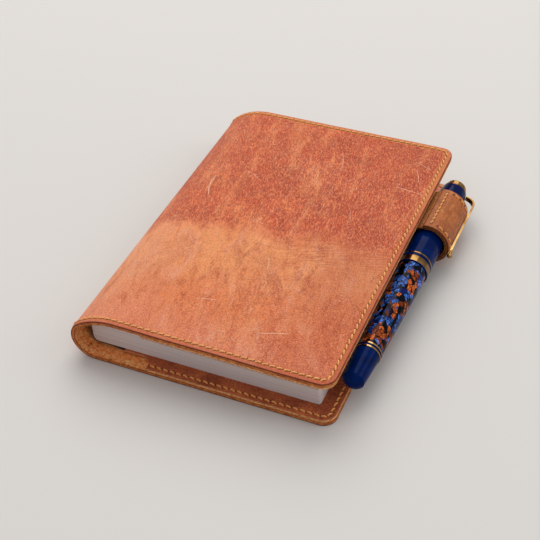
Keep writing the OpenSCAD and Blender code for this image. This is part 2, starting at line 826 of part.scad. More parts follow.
// The two rings at the ends of the tail collar, or the grooves that take them
module tail_ring_spaces(out) {
    for (s = [0, tail_collar_len - ring_w]) translate([0, 0, s]) difference() {
        cylinder(h = ring_w, r = barrel_tail_r + out);
        translate([0, 0, -1]) cylinder(h = ring_w + 2, r = barrel_tail_r - 0.2 - ring_in);
    }
}

module tail_rings() {
    color("gold") on_pen() translate([0, 0, knob_s]) tail_ring_spaces(ring_out);
}

// ---- pen: piston filler ----

module piston_guide() {
    color("dimgray") on_pen() translate([0, 0, tail_s]) difference() {
        cylinder(h = piston_back - rod_start, r = chamber_r - fit_gap);
        translate([0, 0, -1]) cylinder(h = piston_back, r = rod_r + run_gap);
    }
}

// Turning the knob turns the spindle, which drives the rod
module piston_knob() {
    dome_r = (knob_end_r * knob_end_r + dome_h * dome_h) / (2 * dome_h);
    color("navy") on_pen() translate([0, 0, knob_s - knob_gap]) {
        translate([0, 0, -knob_len]) cylinder(h = knob_len, r1 = knob_end_r, r2 = knob_r);
        intersection() {
            translate([0, 0, -knob_len - dome_h + dome_r]) sphere(dome_r);
            translate([0, 0, -knob_len - dome_h]) cylinder(h = dome_h, r = knob_r);
        }
        cylinder(h = knob_gap + tail_collar_len, r = journal_r);
        cylinder(h = knob_gap + tail_collar_len + spindle_len, r = spindle_r);
    }
}

module piston_rod() {
    len = piston_back - rod_start;
    color("silver") on_pen() translate([0, 0, tail_s + rod_start]) difference() {
        cylinder(h = len + seal_len, r = rod_r);
        translate([0, 0, -1]) cylinder(h = len, r = spindle_r + run_gap);
    }
}

// Two lips that wipe the ink chamber
module piston_seal() {
    color("black") on_pen() translate([0, 0, piston_s]) difference() {
        cylinder(h = seal_len, r = chamber_r - run_gap);
        translate([0, 0, -1]) cylinder(h = seal_len + 2, r = rod_r);
        translate([0, 0, seal_len / 3]) difference() {
            cylinder(h = seal_len / 3, r = chamber_r);
            translate([0, 0, -1]) cylinder(h = seal_len, r = (chamber_r + rod_r) / 2);
        }
    }
}

cover_back();
cover_spine();
cover_front();
pocket_back();
pocket_front();
seam_back();
seam_spine();
seam_front();
loop_strap();
loop_liner();
loop_seam();
notebook_cover_back();
notebook_cover_fold();
notebook_cover_front();
page_block();
front_leaves();
cap_body();
inner_cap();
cap_band();
cap_ring();
clip_ring();
cap_finial();
clip();
barrel();
grip_section();
section_ring();
feed();
nib();
tail_collar();
tail_rings();
piston_guide();
piston_knob();
piston_rod();
piston_seal();
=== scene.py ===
"""Sewn leather notebook cover with a fountain pen in its loop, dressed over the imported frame."""
import json
import random
from math import asin, atan2, cos, pi, radians, sin, sqrt

import bmesh
import bpy
from mathutils import Matrix, Vector, noise


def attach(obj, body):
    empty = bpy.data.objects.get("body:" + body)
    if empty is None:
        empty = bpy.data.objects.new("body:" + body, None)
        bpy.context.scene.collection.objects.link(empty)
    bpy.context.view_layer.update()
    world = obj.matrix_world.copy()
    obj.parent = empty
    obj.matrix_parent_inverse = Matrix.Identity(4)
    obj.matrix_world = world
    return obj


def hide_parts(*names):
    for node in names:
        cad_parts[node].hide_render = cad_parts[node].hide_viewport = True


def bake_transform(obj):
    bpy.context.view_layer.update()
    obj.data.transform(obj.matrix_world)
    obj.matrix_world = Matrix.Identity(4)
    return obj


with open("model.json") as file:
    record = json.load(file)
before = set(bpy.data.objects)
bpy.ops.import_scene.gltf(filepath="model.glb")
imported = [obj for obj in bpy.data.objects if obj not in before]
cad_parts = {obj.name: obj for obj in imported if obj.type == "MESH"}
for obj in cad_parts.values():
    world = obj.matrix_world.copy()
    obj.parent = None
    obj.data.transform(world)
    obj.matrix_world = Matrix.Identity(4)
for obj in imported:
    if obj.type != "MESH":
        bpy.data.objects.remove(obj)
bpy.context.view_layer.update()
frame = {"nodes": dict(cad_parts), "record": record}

MM = 0.001

# ---- sizes in millimetres, as the source states them ----

COVER_W, COVER_H, COVER_T = 118.0, 166.0, 24.7
LEATHER_T, LINING_T, BOARD_T = 1.9, 1.2, 0.5
STACK_T = LEATHER_T + LINING_T
CORNER_R = 6.0
BEND_START = 9.4
LOW_R, HIGH_R = 10.4, 29.9
HIGH_Z = COVER_T - HIGH_R
HIGH_X = BEND_START + sqrt((HIGH_R - LOW_R) ** 2 - (HIGH_Z - LOW_R) ** 2)
JOIN_A = atan2(LOW_R - HIGH_Z, BEND_START - HIGH_X)
FOLD_LOW_Z, FOLD_HIGH_Z = 8.0, 16.7
MID_Z = (FOLD_LOW_Z + FOLD_HIGH_Z) / 2
MOUTH_X, MOUTH_END_X, MOUTH_END_Y, MOUTH_R = 20.5, 34.0, 6.5, 4.5
BOOK_X1, BOOK_H, BOOK_SHIFT, POCKET_RIM = 110.1, 148.0, 1.5, 1.5
PAGES_X0, PAGES_X1, PAGES_R = 5.1, 110.1, 1.3
PAGES_Z0, TURN_Z, PAGES_Z1 = STACK_T + BOARD_T, 15.8, 20.8
SEAM_INSET, PITCH = 2.5, 3.1
STITCH_LEN, THREAD_W = 2.45, 0.76

# Developed length round the outside, from the back cover's fore edge to the front cover's
U_LOW = COVER_W - BEND_START
U_JOIN = U_LOW + LOW_R * (1.5 * pi - JOIN_A)
U_HIGH = U_JOIN + HIGH_R * (JOIN_A - 0.5 * pi)
U_END = U_HIGH + COVER_W - HIGH_X
MID_A = pi - asin((MID_Z - LOW_R) / LOW_R)
U_MID = U_LOW + LOW_R * (1.5 * pi - MID_A)

# The seam between the corners: stitches along the fore edge, and their pitch there and at head and tail
Y_FLAT = COVER_H / 2 - CORNER_R
FORE_RUNS = round(2 * Y_FLAT / PITCH)
FORE_RUN = 2 * Y_FLAT / FORE_RUNS
EDGE_RUN = (U_END - 2 * CORNER_R) / round((U_END - 2 * CORNER_R) / PITCH)

LOOP_LEN, LOOP_R, LINER_T, STRAP_T = 29.0, 8.35, 0.95, 1.2
LINER_R = LOOP_R + LINER_T
STRAP_R = LINER_R + STRAP_T
STRAP_MID = (LINER_R + STRAP_R) / 2
LOOP_ROOM = (COVER_T - STACK_T - LEATHER_T) / 2
LOOP_GAP = 0.33
LOOP_OUT = sqrt((STRAP_R + LOOP_GAP) ** 2 - LOOP_ROOM**2)
PEN_AT = Vector((COVER_W / 2 + LOOP_OUT, 40.5, LEATHER_T + LOOP_ROOM))
PEN_LEAN = radians(1.2)
PEN_AXIS = Vector((sin(PEN_LEAN), cos(PEN_LEAN), 0))
PEN_SIDE = Vector((cos(PEN_LEAN), -sin(PEN_LEAN), 0))
STRAP_START, STRAP_END, LOOP_SEAM = -113.9, 103.0, 85.0
TONGUE = 6.0
LOOP_PITCH, END_INSET = 2.7, 2.2
END_ANGLES = (58.0, 38.0, 18.0, -2.0, -22.0)


# ---- the leather's shape ----

# Unevenness of the front: heights and lengths of the slow and quick waves, and the soft edge with its wave
SLOW_WAVE, SLOW_U, SLOW_Y = 0.22, 38, 52
QUICK_WAVE, QUICK_U, QUICK_Y = 0.1, 17, 21
EDGE_WIDTH, EDGE_FALL, EDGE_WAVE = 9, 0.25, 0.3


def smooth(x, low, high):
    """0 below low, 1 above high, with a smooth rise between them."""
    t = min(max((x - low) / (high - low), 0.0), 1.0)
    return t * t * (3 - 2 * t)


def section(u):
    """The place x, z and the outward direction at a developed length round the closed cover."""
    if u < U_LOW:
        return COVER_W - u, 0.0, 0.0, -1.0
    if u >= U_HIGH:
        return HIGH_X + u - U_HIGH, COVER_T, 0.0, 1.0
    if u < U_JOIN:
        a, x, z, r = 1.5 * pi - (u - U_LOW) / LOW_R, BEND_START, LOW_R, LOW_R
    else:
        a, x, z, r = JOIN_A - (u - U_JOIN) / HIGH_R, HIGH_X, HIGH_Z, HIGH_R
    return x + r * cos(a), z + r * sin(a), cos(a), sin(a)


def waves(u, y):
    """How far the front leather stands above its flat shape: hand-made unevenness, in mm."""
    if u < U_JOIN:
        return 0.0
    soft = smooth(min(U_END - u, COVER_H / 2 - abs(y)), EDGE_WIDTH, 0)
    rise = smooth(u, U_JOIN, U_HIGH + 10)
    slow = noise.noise(Vector((u / SLOW_U, y / SLOW_Y, 3.7)))
    quick = noise.noise(Vector((u / QUICK_U, y / QUICK_Y, 9.1)))
    return rise * (SLOW_WAVE * slow + QUICK_WAVE * quick - EDGE_FALL * soft + EDGE_WAVE * soft * slow)


def back_leaf(p, y, depth):
    """A point in the row frame, in mm, from its length from the fore edge and depth below the outside."""
    x, z, nx, nz = section(p)
    lift = waves(p, y) - depth
    return Vector((x - COVER_W / 2 + nx * lift, y, z + nz * lift))


def front_leaf(p, y, depth):
    return back_leaf(U_END - p, y, depth)


def board_rise(p, y):
    """How far a pocket is lifted over the notebook's board, p from the fore edge."""
    away = min(p - (COVER_W - BOOK_X1), BOOK_H / 2 - abs(y + BOOK_SHIFT))
    return BOARD_T * smooth(away, -1.3 * POCKET_RIM, 0.1)


# ---- meshes ----

def steps(start, end, size):
    count = max(1, round(abs(end - start) / size))
    return [start + (end - start) * i / count for i in range(count + 1)]


def in_scene(name, data):
    made = bpy.data.objects.new(name, data)
    bpy.context.scene.collection.objects.link(made)
    return made


def mesh_object(name, points, faces, materials=(), kinds=None, **floats):
    """A mesh object in metres from points in mm; kinds are materials of faces, floats values of points."""
    mesh = bpy.data.meshes.new(name)
    mesh.from_pydata([tuple(c * MM for c in p) for p in points], [], faces)
    for material in materials:
        mesh.materials.append(material)
    if kinds:
        mesh.polygons.foreach_set("material_index", kinds)
    mesh.polygons.foreach_set("use_smooth", [True] * len(mesh.polygons))
    mesh.validate()
    mesh.update()
    for key, values in floats.items():
        mesh.attributes.new(key, "FLOAT", "POINT").data.foreach_set("value", values)
    return in_scene(name, mesh)


def evaluated_mesh(piece):
    graph = bpy.context.evaluated_depsgraph_get()
    return bpy.data.meshes.new_from_object(piece.evaluated_get(graph), depsgraph=graph)


def turn_outwards(piece):
    """Joins points that meet, and turns all faces outwards."""
    work = bmesh.new()
    work.from_mesh(piece.data)
    bmesh.ops.remove_doubles(work, verts=work.verts, dist=0.00002)
    bmesh.ops.recalc_face_normals(work, faces=work.faces)
    work.to_mesh(piece.data)
    work.free()


def stack(name, rings, materials=()):
    """A closed body from rings of points, one over another."""
    points = [point for ring in rings for point in ring]
    count, last = len(rings[0]), len(points) - len(rings[0])
    faces = [tuple(reversed(range(count))), tuple(range(last, last + count))]
    for a in range(0, last, count):
        b = a + count
        faces += [(a + i, a + (i + 1) % count, b + (i + 1) % count, b + i) for i in range(count)]
    made = mesh_object(name, points, faces, materials)
    turn_outwards(made)
    return made


CORNER_STEPS = 6
# The narrow last row at a panel's cut end, so that the shine runs on over the join
END_STRIP = 0.06


def panel(name, place, length, rings, materials, grid=1.3, reverse=False):
    """A sheet of leather sewn round its edge, from its cut end at p = length to its fore edge at p = 0.

    rings are (distance from the edge, depth, material) from the upper face over the edge to the lower face.
    """
    arc = [i / CORNER_STEPS for i in range(CORNER_STEPS, 0, -1)]
    across = [(CORNER_R, a) for a in arc]
    across += [(p, 0.0) for p in steps(CORNER_R, length - END_STRIP, grid) + [length]]
    along = [(-Y_FLAT, -b) for b in arc] + [(y, 0.0) for y in steps(-Y_FLAT, Y_FLAT, grid)]
    along += [(Y_FLAT, b) for b in reversed(arc)]
    last_i, last_j = len(across) - 1, len(along) - 1

    def flat(i, j, inset):
        (p, a), (y, b) = across[i], along[j]
        rho = CORNER_R - inset
        return p - rho * a * sqrt(1 - b * b / 2), y + rho * b * sqrt(1 - a * a / 2)

    def run_at(i, j):
        """Length along the seam in stitches, whole numbers between the stitches."""
        (p, a), (y, b) = across[i], along[j]
        if j in (0, last_j):
            run = -(p - CORNER_R) / EDGE_RUN + 4 / pi * asin(a / sqrt(2))
        else:
            turn = 4 / pi * asin(abs(b) / sqrt(2))
            run = 2 - turn if b < 0 else 2 + (y + Y_FLAT) / FORE_RUN + turn
        return 4 + FORE_RUNS - run if j == last_j else run

    points, faces, kinds = [], [], []
    insets, runs, depths = [], [], []

    def point(i, j, inset, depth):
        points.append(place(*flat(i, j, inset), depth))
        insets.append(inset)
        depths.append(depth)
        runs.append(run_at(i, j) if i == 0 or j in (0, last_j) else 0.0)
        return len(points) - 1

    def face(corners, kind):
        faces.append(tuple(reversed(corners)) if reverse else tuple(corners))
        kinds.append(kind)

    def sheet(inset, depth, kind, flip):
        ids = [[point(i, j, inset, depth) for j in range(last_j + 1)] for i in range(last_i + 1)]
        for i in range(last_i):
            for j in range(last_j):
                quad = [ids[i][j], ids[i + 1][j], ids[i + 1][j + 1], ids[i][j + 1]]
                face(quad[::-1] if flip else quad, kind)
        return ids

    rim = [(i, 0) for i in range(last_i, 0, -1)] + [(0, j) for j in range(last_j)]
    rim += [(i, last_j) for i in range(last_i + 1)]
    top = sheet(*rings[0], False)
    base = sheet(*rings[-1], True)
    loops = [[top[i][j] for i, j in rim]]
    loops += [[point(i, j, inset, depth) for i, j in rim] for inset, depth, _ in rings[1:-1]]
    loops.append([base[i][j] for i, j in rim])
    for upper, lower, ring in zip(loops, loops[1:], rings[1:]):
        for n in range(len(rim) - 1):
            face([upper[n], upper[n + 1], lower[n + 1], lower[n]], ring[2])
    cut_face = len(faces)
    for j in range(last_j):
        face([top[last_i][j], base[last_i][j], base[last_i][j + 1], top[last_i][j + 1]], 1)
    face([loop[0] for loop in loops], 1)
    face([loop[-1] for loop in reversed(loops)], 1)
    made = mesh_object(name, points, faces, materials, kinds, inset=insets, run=runs, depth=depths)
    for polygon in made.data.polygons[cut_face:]:
        polygon.use_smooth = False
    return made


# ---- nodes ----

def colour(text):
    """A linear colour from an sRGB hexadecimal one."""
    parts = [int(text[i : i + 2], 16) / 255 for i in (0, 2, 4)]
    return tuple(c / 12.92 if c <= 0.04045 else ((c + 0.055) / 1.055) ** 2.4 for c in parts) + (1.0,)


def maths(what, a, b=0.0):
    tree = next(value.tree for value in (a, b) if isinstance(value, Wire))
    return wire(tree, "ShaderNodeMath", {0: a, 1: b, 2: 0.0}, operation=what)


def by_node(what, swapped=False):
    return lambda a, b=0.0: maths(what, b, a) if swapped else maths(what, a, b)


class Wire:
    """A value that leaves a node; what is worked out with it in Python is worked out by Math nodes."""

    __add__, __sub__, __mul__ = by_node("ADD"), by_node("SUBTRACT"), by_node("MULTIPLY")
    __truediv__, __pow__, __abs__ = by_node("DIVIDE"), by_node("POWER"), by_node("ABSOLUTE")
    __rsub__ = by_node("SUBTRACT", swapped=True)

    def __init__(self, socket):
        self.socket = socket
        self.tree = socket.id_data

    def ramp(self, low, high, to_low=0.0, to_high=1.0):
        """Maps a range of the value to another one, held at its ends."""
        ends = {0: self, 1: low, 2: high, 3: to_low, 4: to_high}
        return wire(self.tree, "ShaderNodeMapRange", ends, interpolation_type="SMOOTHSTEP")

    def axes(self):
        return [Wire(output) for output in add(self.tree, "ShaderNodeSeparateXYZ", {0: self}).outputs]


def feed(node, inputs):
    """Sets a node's inputs, each to a value or to the wire that it comes by."""
    for key, value in inputs.items():
        if isinstance(value, Wire):
            value.tree.links.new(value.socket, node.inputs[key])
        else:
            node.inputs[key].default_value = value


def add(tree, kind, inputs=None, **settings):
    made = tree.nodes.new(kind)
    for key, value in settings.items():
        setattr(made, key, value)
    feed(made, inputs or {})
    return made


def wire(tree, kind, inputs=None, output=0, **settings):
    """Adds a node and gives the value that leaves it."""
    return Wire(add(tree, kind, inputs, **settings).outputs[output])


def blend(share, a, b):
    """Goes from one colour to another by a share; a colour may be hexadecimal or a wire."""
    a, b = (colour(c) if isinstance(c, str) else c for c in (a, b))
    return wire(share.tree, "ShaderNodeMix", {0: share, 6: a, 7: b}, 2, data_type="RGBA")


def tint(base, *layers):
    """Lays colours over a base one after another, each by a share and a strength."""
    for share, strength, text in layers:
        base = blend(share * strength, base, text)
    return base


def cloud(where, scale, detail=2.0, rough=0.5, twist=0.0):
    """Noise at a scale in features per metre."""
    inputs = {"Vector": where, "Scale": scale, "Detail": detail, "Roughness": rough, "Distortion": twist}
    return wire(where.tree, "ShaderNodeTexNoise", inputs, "Fac")


def cells(where, scale, chaos, feature="F1", output="Distance"):
    inputs = {"Vector": where, "Scale": scale, "Randomness": chaos}
    return wire(where.tree, "ShaderNodeTexVoronoi", inputs, output, feature=feature)


def stretch(where, lengths, turn=0.0):
    """Coordinates that draw a pattern out by lengths along axes turned about Z, or about all three."""
    turns = turn if isinstance(turn, tuple) else (0, 0, turn)
    inputs = {"Vector": where, "Scale": lengths, "Rotation": turns}
    return wire(where.tree, "ShaderNodeMapping", inputs, vector_type="TEXTURE")


def streaks(where, length, turn, *settings):
    """Noise drawn out across the page, turned about Z."""
    return cloud(stretch(where, (1, length, 1), turn), *settings)


def finish_called(name):
    """A new material and its object coordinates."""
    made = bpy.data.materials.new(name)
    made.use_nodes = True
    return made, wire(made.node_tree, "ShaderNodeTexCoord", output="Object")


def attribute(where, name, output="Fac"):
    """A value that the mesh carries, for the tree that the coordinates are in."""
    return wire(where.tree, "ShaderNodeAttribute", output=output, attribute_name=name)


def finished(made, base, rough, bump=None, gloss=0.5, metal=0.0):
    """Sets how a material looks; bump is a height, its distance in metres and its strength."""
    values = {"Base Color": base, "Roughness": rough, "Specular IOR Level": gloss, "Metallic": metal}
    if bump:
        inputs = dict(zip(("Height", "Distance", "Strength"), bump))
        values["Normal"] = wire(made.node_tree, "ShaderNodeBump", inputs)
    feed(made.node_tree.nodes["Principled BSDF"], values)
    return made


def new_group(kind, name, inputs, output):
    """A node group with named inputs and one output, and the wires that its inputs come in by."""
    tree = bpy.data.node_groups.new(name, kind)
    for title, sort in inputs:
        tree.interface.new_socket(title, in_out="INPUT", socket_type="NodeSocket" + sort)
    tree.interface.new_socket(output[0], in_out="OUTPUT", socket_type="NodeSocket" + output[1])
    sockets = tree.nodes.new("NodeGroupInput").outputs
    return tree, {title: Wire(sockets[title]) for title, _ in inputs}


# ---- finishes ----

def seam_marks(where):
    """Dark slanted needle holes between the stitches, and the line that the thread lies in."""
    inset, run = attribute(where, "inset"), attribute(where, "run")
    off = inset - SEAM_INSET
    slanted = maths("FRACT", run + 0.5) - 0.5 + off * 0.2
    far = maths("SQRT", (slanted * 5.4) ** 2.0 + (off * 1.5) ** 2.0)
    return inset, far.ramp(1.0, 0.65), abs(off).ramp(0.8, 0.25)


def scratch_tree():
    """A thin bowed mark from one point to another, in metres on the flat."""
    inputs = [(title, "Vector") for title in ("Place", "Start", "End")]
    inputs += [(title, "Float") for title in ("Width", "Bow")]
    tree, given = new_group("ShaderNodeTree", "scratch", inputs, ("Mark", "Float"))

    def vectors(what, a, b=None, output=0):
        return wire(tree, "ShaderNodeVectorMath", {0: a, 1: b} if b else {0: a}, output, operation=what)
    rel = vectors("SUBTRACT", given["Place"], given["Start"])
    run = vectors("SUBTRACT", given["End"], given["Start"])
    unit = vectors("NORMALIZE", run)
    along = vectors("DOT_PRODUCT", rel, unit, "Value") / vectors("LENGTH", run, output="Value")
    off = vectors("CROSS_PRODUCT", unit, rel).axes()[2]
    off = off - along * (1.0 - along) * given["Bow"] * 4.0
    near = abs(off) / given["Width"]
    ends = along.ramp(0.0, 0.12) * along.ramp(1.0, 0.82)
    add(tree, "NodeGroupOutput", {0: near.ramp(1.0, 0.25) * ends})
    return tree


# Scratches on the front: start, end, width and bow in mm
SCRATCHES = (
    (-41.2, 25.8, -37.4, 9, 0.4, -1.6), (-12.8, -56.2, -3.2, -53.9, 0.25, 0.3),
    (20.8, -65.7, 33.5, -61.5, 0.3, 0.2), (-11.5, 1.2, -4.7, -0.8, 0.25, -0.6),
    (-10.5, -1.6, -7.6, 2.4, 0.2, 0.3), (41, 45.6, 57, 43.6, 0.25, 0.2),
    (44, 67.1, 54.1, 63.1, 0.2, 0.2), (46.8, 61, 50.6, 51.5, 0.2, 0.4),
    (-29, 33, -21, 29, 0.2, 0.6), (5, -20.5, 8.2, -29, 0.25, 0.9),
    (28, 22, 31.5, 13.5, 0.2, -0.5), (9, 62, 13, 51, 0.2, 0.4),
)

# Soft pulled-up streaks on the front, in the same order of values
STREAKS = (
    (-30.5, 78, -29, -12, 3.6, 1.5), (6.6, 42, 8.5, -14, 2.6, 1.2),
    (-46.5, 66, -45, 14, 3, -1), (18.5, 74, 24, 28, 2.4, 0.8),
    (-1, -12, -2.5, -64, 3.2, 1.2), (30.8, -20, 30, -70, 3, -1),
    (-27, -22, -29.6, -72, 2.6, 0.8), (16, -8, 22.5, -38, 2, 0.6),
    (40, 60, 44, 14, 2.6, 1), (-12, 66, -9, 40, 2, -0.6),
    (46, -18, 48, -58, 2.6, 1),
)


def scratches(flat, group, marks):
    total = None
    for x0, y0, x1, y1, width, bow in marks:
        mark = wire(flat.tree, "ShaderNodeGroup", {
            "Place": flat, "Start": (x0 * MM, y0 * MM, 0), "End": (x1 * MM, y1 * MM, 0),
            "Width": width * MM, "Bow": bow * MM,
        }, node_tree=group)
        total = maths("MAXIMUM", total, mark) if total else mark
    return total


def leather_grain(where, head):
    """Fine strokes at the head and fine dots at the tail, and hair lines over both."""
    fibres = streaks(where, 4, 0.12, 2500, 2, 0.6, 0.5)
    grain = cloud(stretch(where, (1.4, 1, 1), 0.5), 2300, 2, 0.6, 0.5)
    hairs = streaks(where, 2.2, 0.25, 520, 3, 0.6, 1.2)
    tooth = blend(head, grain.ramp(0.34, 0.66), fibres.ramp(0.34, 0.66))
    return tooth * 0.85 + grain * 0.15, abs(hairs - 0.5).ramp(0.035, 0.0)


def fold_creases(where, across, x):
    """Fine creases that run across the pale band, at its fore edge."""
    creases = cloud(stretch(where, (14, 1, 1), 0.3), 1500, 2, 0.5, 0.2)
    place = abs(across + 0.008).ramp(0.012, 0.003) * x.ramp(-0.005, 0.02)
    return creases.ramp(0.5, 0.42) * place


def light_marks(where, drawn, speck):
    """Wisps of wear where the leather is worn, and the scratches, broken by the grain."""
    wisps = streaks(where, 1.8, 0.2, 90, 5, 0.66, 1.9)
    thin = abs(wisps - 0.5).ramp(0.008, 0.001)
    worn = cloud(where, 34, 4, 0.65).ramp(0.5, 0.62)
    return maths("MAXIMUM", thin * worn * 0.8, drawn) * speck.ramp(0.2, 0.7, 0.5, 1.0)


def pull_up_leather():
    """Waxed leather: russet at the head, a pale band across the middle, scuffed and scratched, with a painted
    pinkish highlight towards the spine and the tail.
    """
    made, where = finish_called("russet_pull_up_leather")
    x, y, z = where.axes()
    flat = wire(where.tree, "ShaderNodeCombineXYZ", {"X": x, "Y": y})
    wander = (cloud(where, 26, 5, 0.6, 0.6) - 0.5) * 0.05
    across = y - x * 0.2 + 0.006 + wander
    head = across.ramp(-0.013, 0.006)
    lower = 1.0 - head

    def by_half(tail_share, head_share):
        return head.ramp(0.0, 1.0, tail_share, head_share)
    speck, hairs = leather_grain(where, head)
    group = scratch_tree()
    loose = streaks(where, 5, 0.12, 620, 3, 0.6, 0.6)
    soft = scratches(flat, group, STREAKS) * z.ramp(0.012, 0.02) * loose.ramp(0.36, 0.6, 0.25, 1.0)
    drawn = scratches(flat, group, SCRATCHES) * z.ramp(0.017, 0.022)
    patch = cloud(where, 44, 6, 0.66, 0.9).ramp(0.48, 0.6)
    glow = streaks(where, 2.2, 0.15, 62, 5, 0.66, 0.7).ramp(0.5, 0.64)
    mottle = streaks(where, 2.4, 0.2, 180, 4, 0.6, 0.7)
    blush = streaks(where, 1.5, 0, 46, 6, 0.7, 0.9).ramp(0.54, 0.68)
    # Lighter towards the spine: painted highlight over scuffed leather.
    side = (x + wander * 0.5).ramp(-0.024, -0.054) * by_half(1.0, 0.15)
    rubbed = streaks(where, 3, 0.2, 130, 6, 0.72, 0.8)
    runs = streaks(where, 6, 0.15, 260, 5, 0.7, 0.9)
    where_run = streaks(where, 2.5, 0.15, 60, 3, 0.6, 0.6).ramp(0.48, 0.62)
    force = by_half(0.85, 1.0) * x.ramp(-0.056, -0.048, 0.55, 1.0)
    deep = speck.ramp(0.5, 0.05) * force
    creased = fold_creases(where, across, x)
    marks = light_marks(where, drawn, speck)
    inset, holes, line = seam_marks(where)
    base = tint(
        blend(head, "ffaa6c", "c64722"),
        (across.ramp(-0.02, -0.05), 0.85, "ea7a4a"),
        (patch * by_half(0.55, 1.0), 0.62, "a4361a"), (glow * by_half(1.0, 0.7), 0.6, "f08c4c"),
        (soft, 0.62, "f0905a"), (loose.ramp(0.56, 0.72), 0.35, "f09a68"),
        (loose.ramp(0.46, 0.3) * by_half(0.5, 1.0), 0.4, "a03c20"),
        (mottle.ramp(0.5, 0.34), 0.5, "a43a1c"), (mottle.ramp(0.54, 0.7), 0.5, "fc9458"),
        # The side tint on this line is the painted highlight towards the spine.
        (blush * by_half(1.0, 0.5), 0.4, "f0926a"), (side, 0.7, "ffac7c"),
        # Lighter towards the tail: painted highlight.
        ((y + wander * 0.5).ramp(-0.056, -0.078), 0.5, "e88c70"),
        (rubbed.ramp(0.52, 0.64) * lower, 0.55, "ffb492"),
        (rubbed.ramp(0.48, 0.36) * lower, 0.6, "c04e22"),
        (runs.ramp(0.52, 0.6) * where_run, 0.75, "f09460"),
        (runs.ramp(0.46, 0.34) * by_half(0.35, 1.0), 0.5, "9c3a1a"),
        ((x + wander).ramp(0.012, 0.05), 0.42, "a83a20"),
        (speck.ramp(0.5, 0.95) * force, 0.6, "ff9860"),
        (deep * head, 0.58, "943010"), (deep * lower, 0.62, "ac441a"),
        (hairs, 0.45, "ffa474"), (creased, 0.4, "b44e2a"), (marks, 0.85, "ffccac"),
        (inset.ramp(2.1, 1.7), 0.5, "c05c3c"),
        (inset.ramp(4.3, 3.2) * y.ramp(0.0, 0.06), 0.6, "e48a50"),
        (line, 0.45, "c47434"), (holes, 0.92, "2c0f06"), (inset.ramp(0.38, 0.22), 0.9, "7c2f16"),
    )
    height = speck * 0.75 + runs * 0.5 - marks * 0.3 - creased * 0.22 - holes * 2.0
    return finished(made, base, speck.ramp(0.1, 0.9, 0.42, 0.6), (height, 0.00024, 1.0), 0.25)


def raw_edge(name, dark, light, burnish, thick, scale=420):
    """A cut edge: burnished at the grain side, then fibres, with a dark line at the next layer."""
    made, where = finish_called(name)
    fibres = cloud(stretch(where, (1, 1, 0.5)), scale, 4, 0.7, 0.5)
    ragged = attribute(where, "depth") + (fibres - 0.5) * 0.5
    base = tint(
        blend(fibres.ramp(0.36, 0.64), dark, light),
        (ragged.ramp(0.75, 0.5), 0.9, burnish), (ragged.ramp(thick - 0.22, thick - 0.04), 0.7, "3a170a"),
    )
    return finished(made, base, 0.75, (fibres, 0.0004, 0.9), 0.2)


def suede(name, dark, mid, light, sewn=False):
    """The flesh side: coarse nap, speckled dark and light."""
    made, where = finish_called(name)
    share = cloud(where, 1100, 4, 0.78, 0.5) * 0.6 + cloud(where, 420, 4, 0.7, 0.5) * 0.4
    base = tint(blend(share.ramp(0.5, 0.63), mid, light), (share.ramp(0.5, 0.36), 0.9, dark))
    if sewn:
        _, holes, line = seam_marks(where)
        base = tint(base, (line, 0.25, light), (holes, 0.2, "4a1f0c"))
    return finished(made, base, 0.92, (share, 0.0007, 1.0), 0.1)


def pocket_leather():
    """Smooth red-brown lining leather with a soft shine."""
    made, where = finish_called("pocket_leather")
    grain = cloud(where, 1500, 4, 0.7, 0.3)
    inset, holes, line = seam_marks(where)
    base = tint(
        blend(cloud(where, 60, 4, 0.6, 0.6).ramp(0.38, 0.62), "9c421e", "cc6834"),
        (grain.ramp(0.5, 0.65), 0.45, "d58a52"), (grain.ramp(0.5, 0.36), 0.55, "4e1c0c"),
        (inset.ramp(1.0, 0.4), 0.5, "c4733c"), (line, 0.3, "b5662e"), (holes, 0.6, "2e0f06"),
        (inset.ramp(0.3, 0.1), 0.6, "d08a50"),
    )
    return finished(made, base, grain.ramp(0.35, 0.65, 0.36, 0.54), (grain, 0.00022, 0.8))


def loop_run(angle):
    """Length along the strap from its tongue's tip to an angle round the pen."""
    flat = TONGUE + LOOP_OUT + STRAP_MID * cos(radians(STRAP_START))
    return flat + STRAP_MID * radians(angle - STRAP_START)


def loop_holes(where):
    """Needle holes of the loop's seam and of the rows along its two ends."""
    run, offset = attribute(where, "run"), attribute(where, "offset")

    def row(phase, off):
        phase = maths("FRACT", phase) - 0.5
        return ((phase * 3.8) ** 2.0 + (off * 1.3) ** 2.0).ramp(1.0, 0.5)
    seam = row(offset / LOOP_PITCH, run - loop_run(LOOP_SEAM)) * maths("LESS_THAN", abs(offset), 13.0)
    step = loop_run(END_ANGLES[0]) - loop_run(END_ANGLES[1])
    past = run - loop_run(END_ANGLES[0])
    ends = row(past / step, abs(offset) - (LOOP_LEN / 2 - END_INSET)) * maths("LESS_THAN", past, 0.7 * step)
    return maths("MAXIMUM", seam, ends), offset


def loop_leather():
    """Tan leather of the loop with soft blotches and fine streaks, and painted shade on its side to the
    cover.
    """
    made, where = finish_called("loop_leather")
    grain = cloud(where, 1700, 4, 0.7, 0.3)
    lines = streaks(where, 4, 0, 700, 4, 0.65, 0.4)
    holes, offset = loop_holes(where)
    base = tint(
        blend(cloud(where, 150, 4, 0.6, 0.5).ramp(0.36, 0.64), "9c4e1a", "b86224"),
        (lines.ramp(0.53, 0.68), 0.5, "e08c44"), (lines.ramp(0.46, 0.32), 0.45, "7c3c18"),
        (grain.ramp(0.5, 0.36), 0.35, "743a1a"), (grain.ramp(0.5, 0.64), 0.3, "dc9a66"),
        # Darker on the side towards the cover: painted shade.
        (where.axes()[0].ramp(0.0665, 0.0595), 0.5, "6a3416"), (holes, 0.7, "4a200c"),
        (abs(offset).ramp(13.9, 14.3), 0.7, "7a3c1c"),
    )
    height = grain + lines * 0.6 - holes * 2.0
    return finished(made, base, grain.ramp(0.35, 0.65, 0.4, 0.58), (height, 0.0002, 0.8), 0.3)


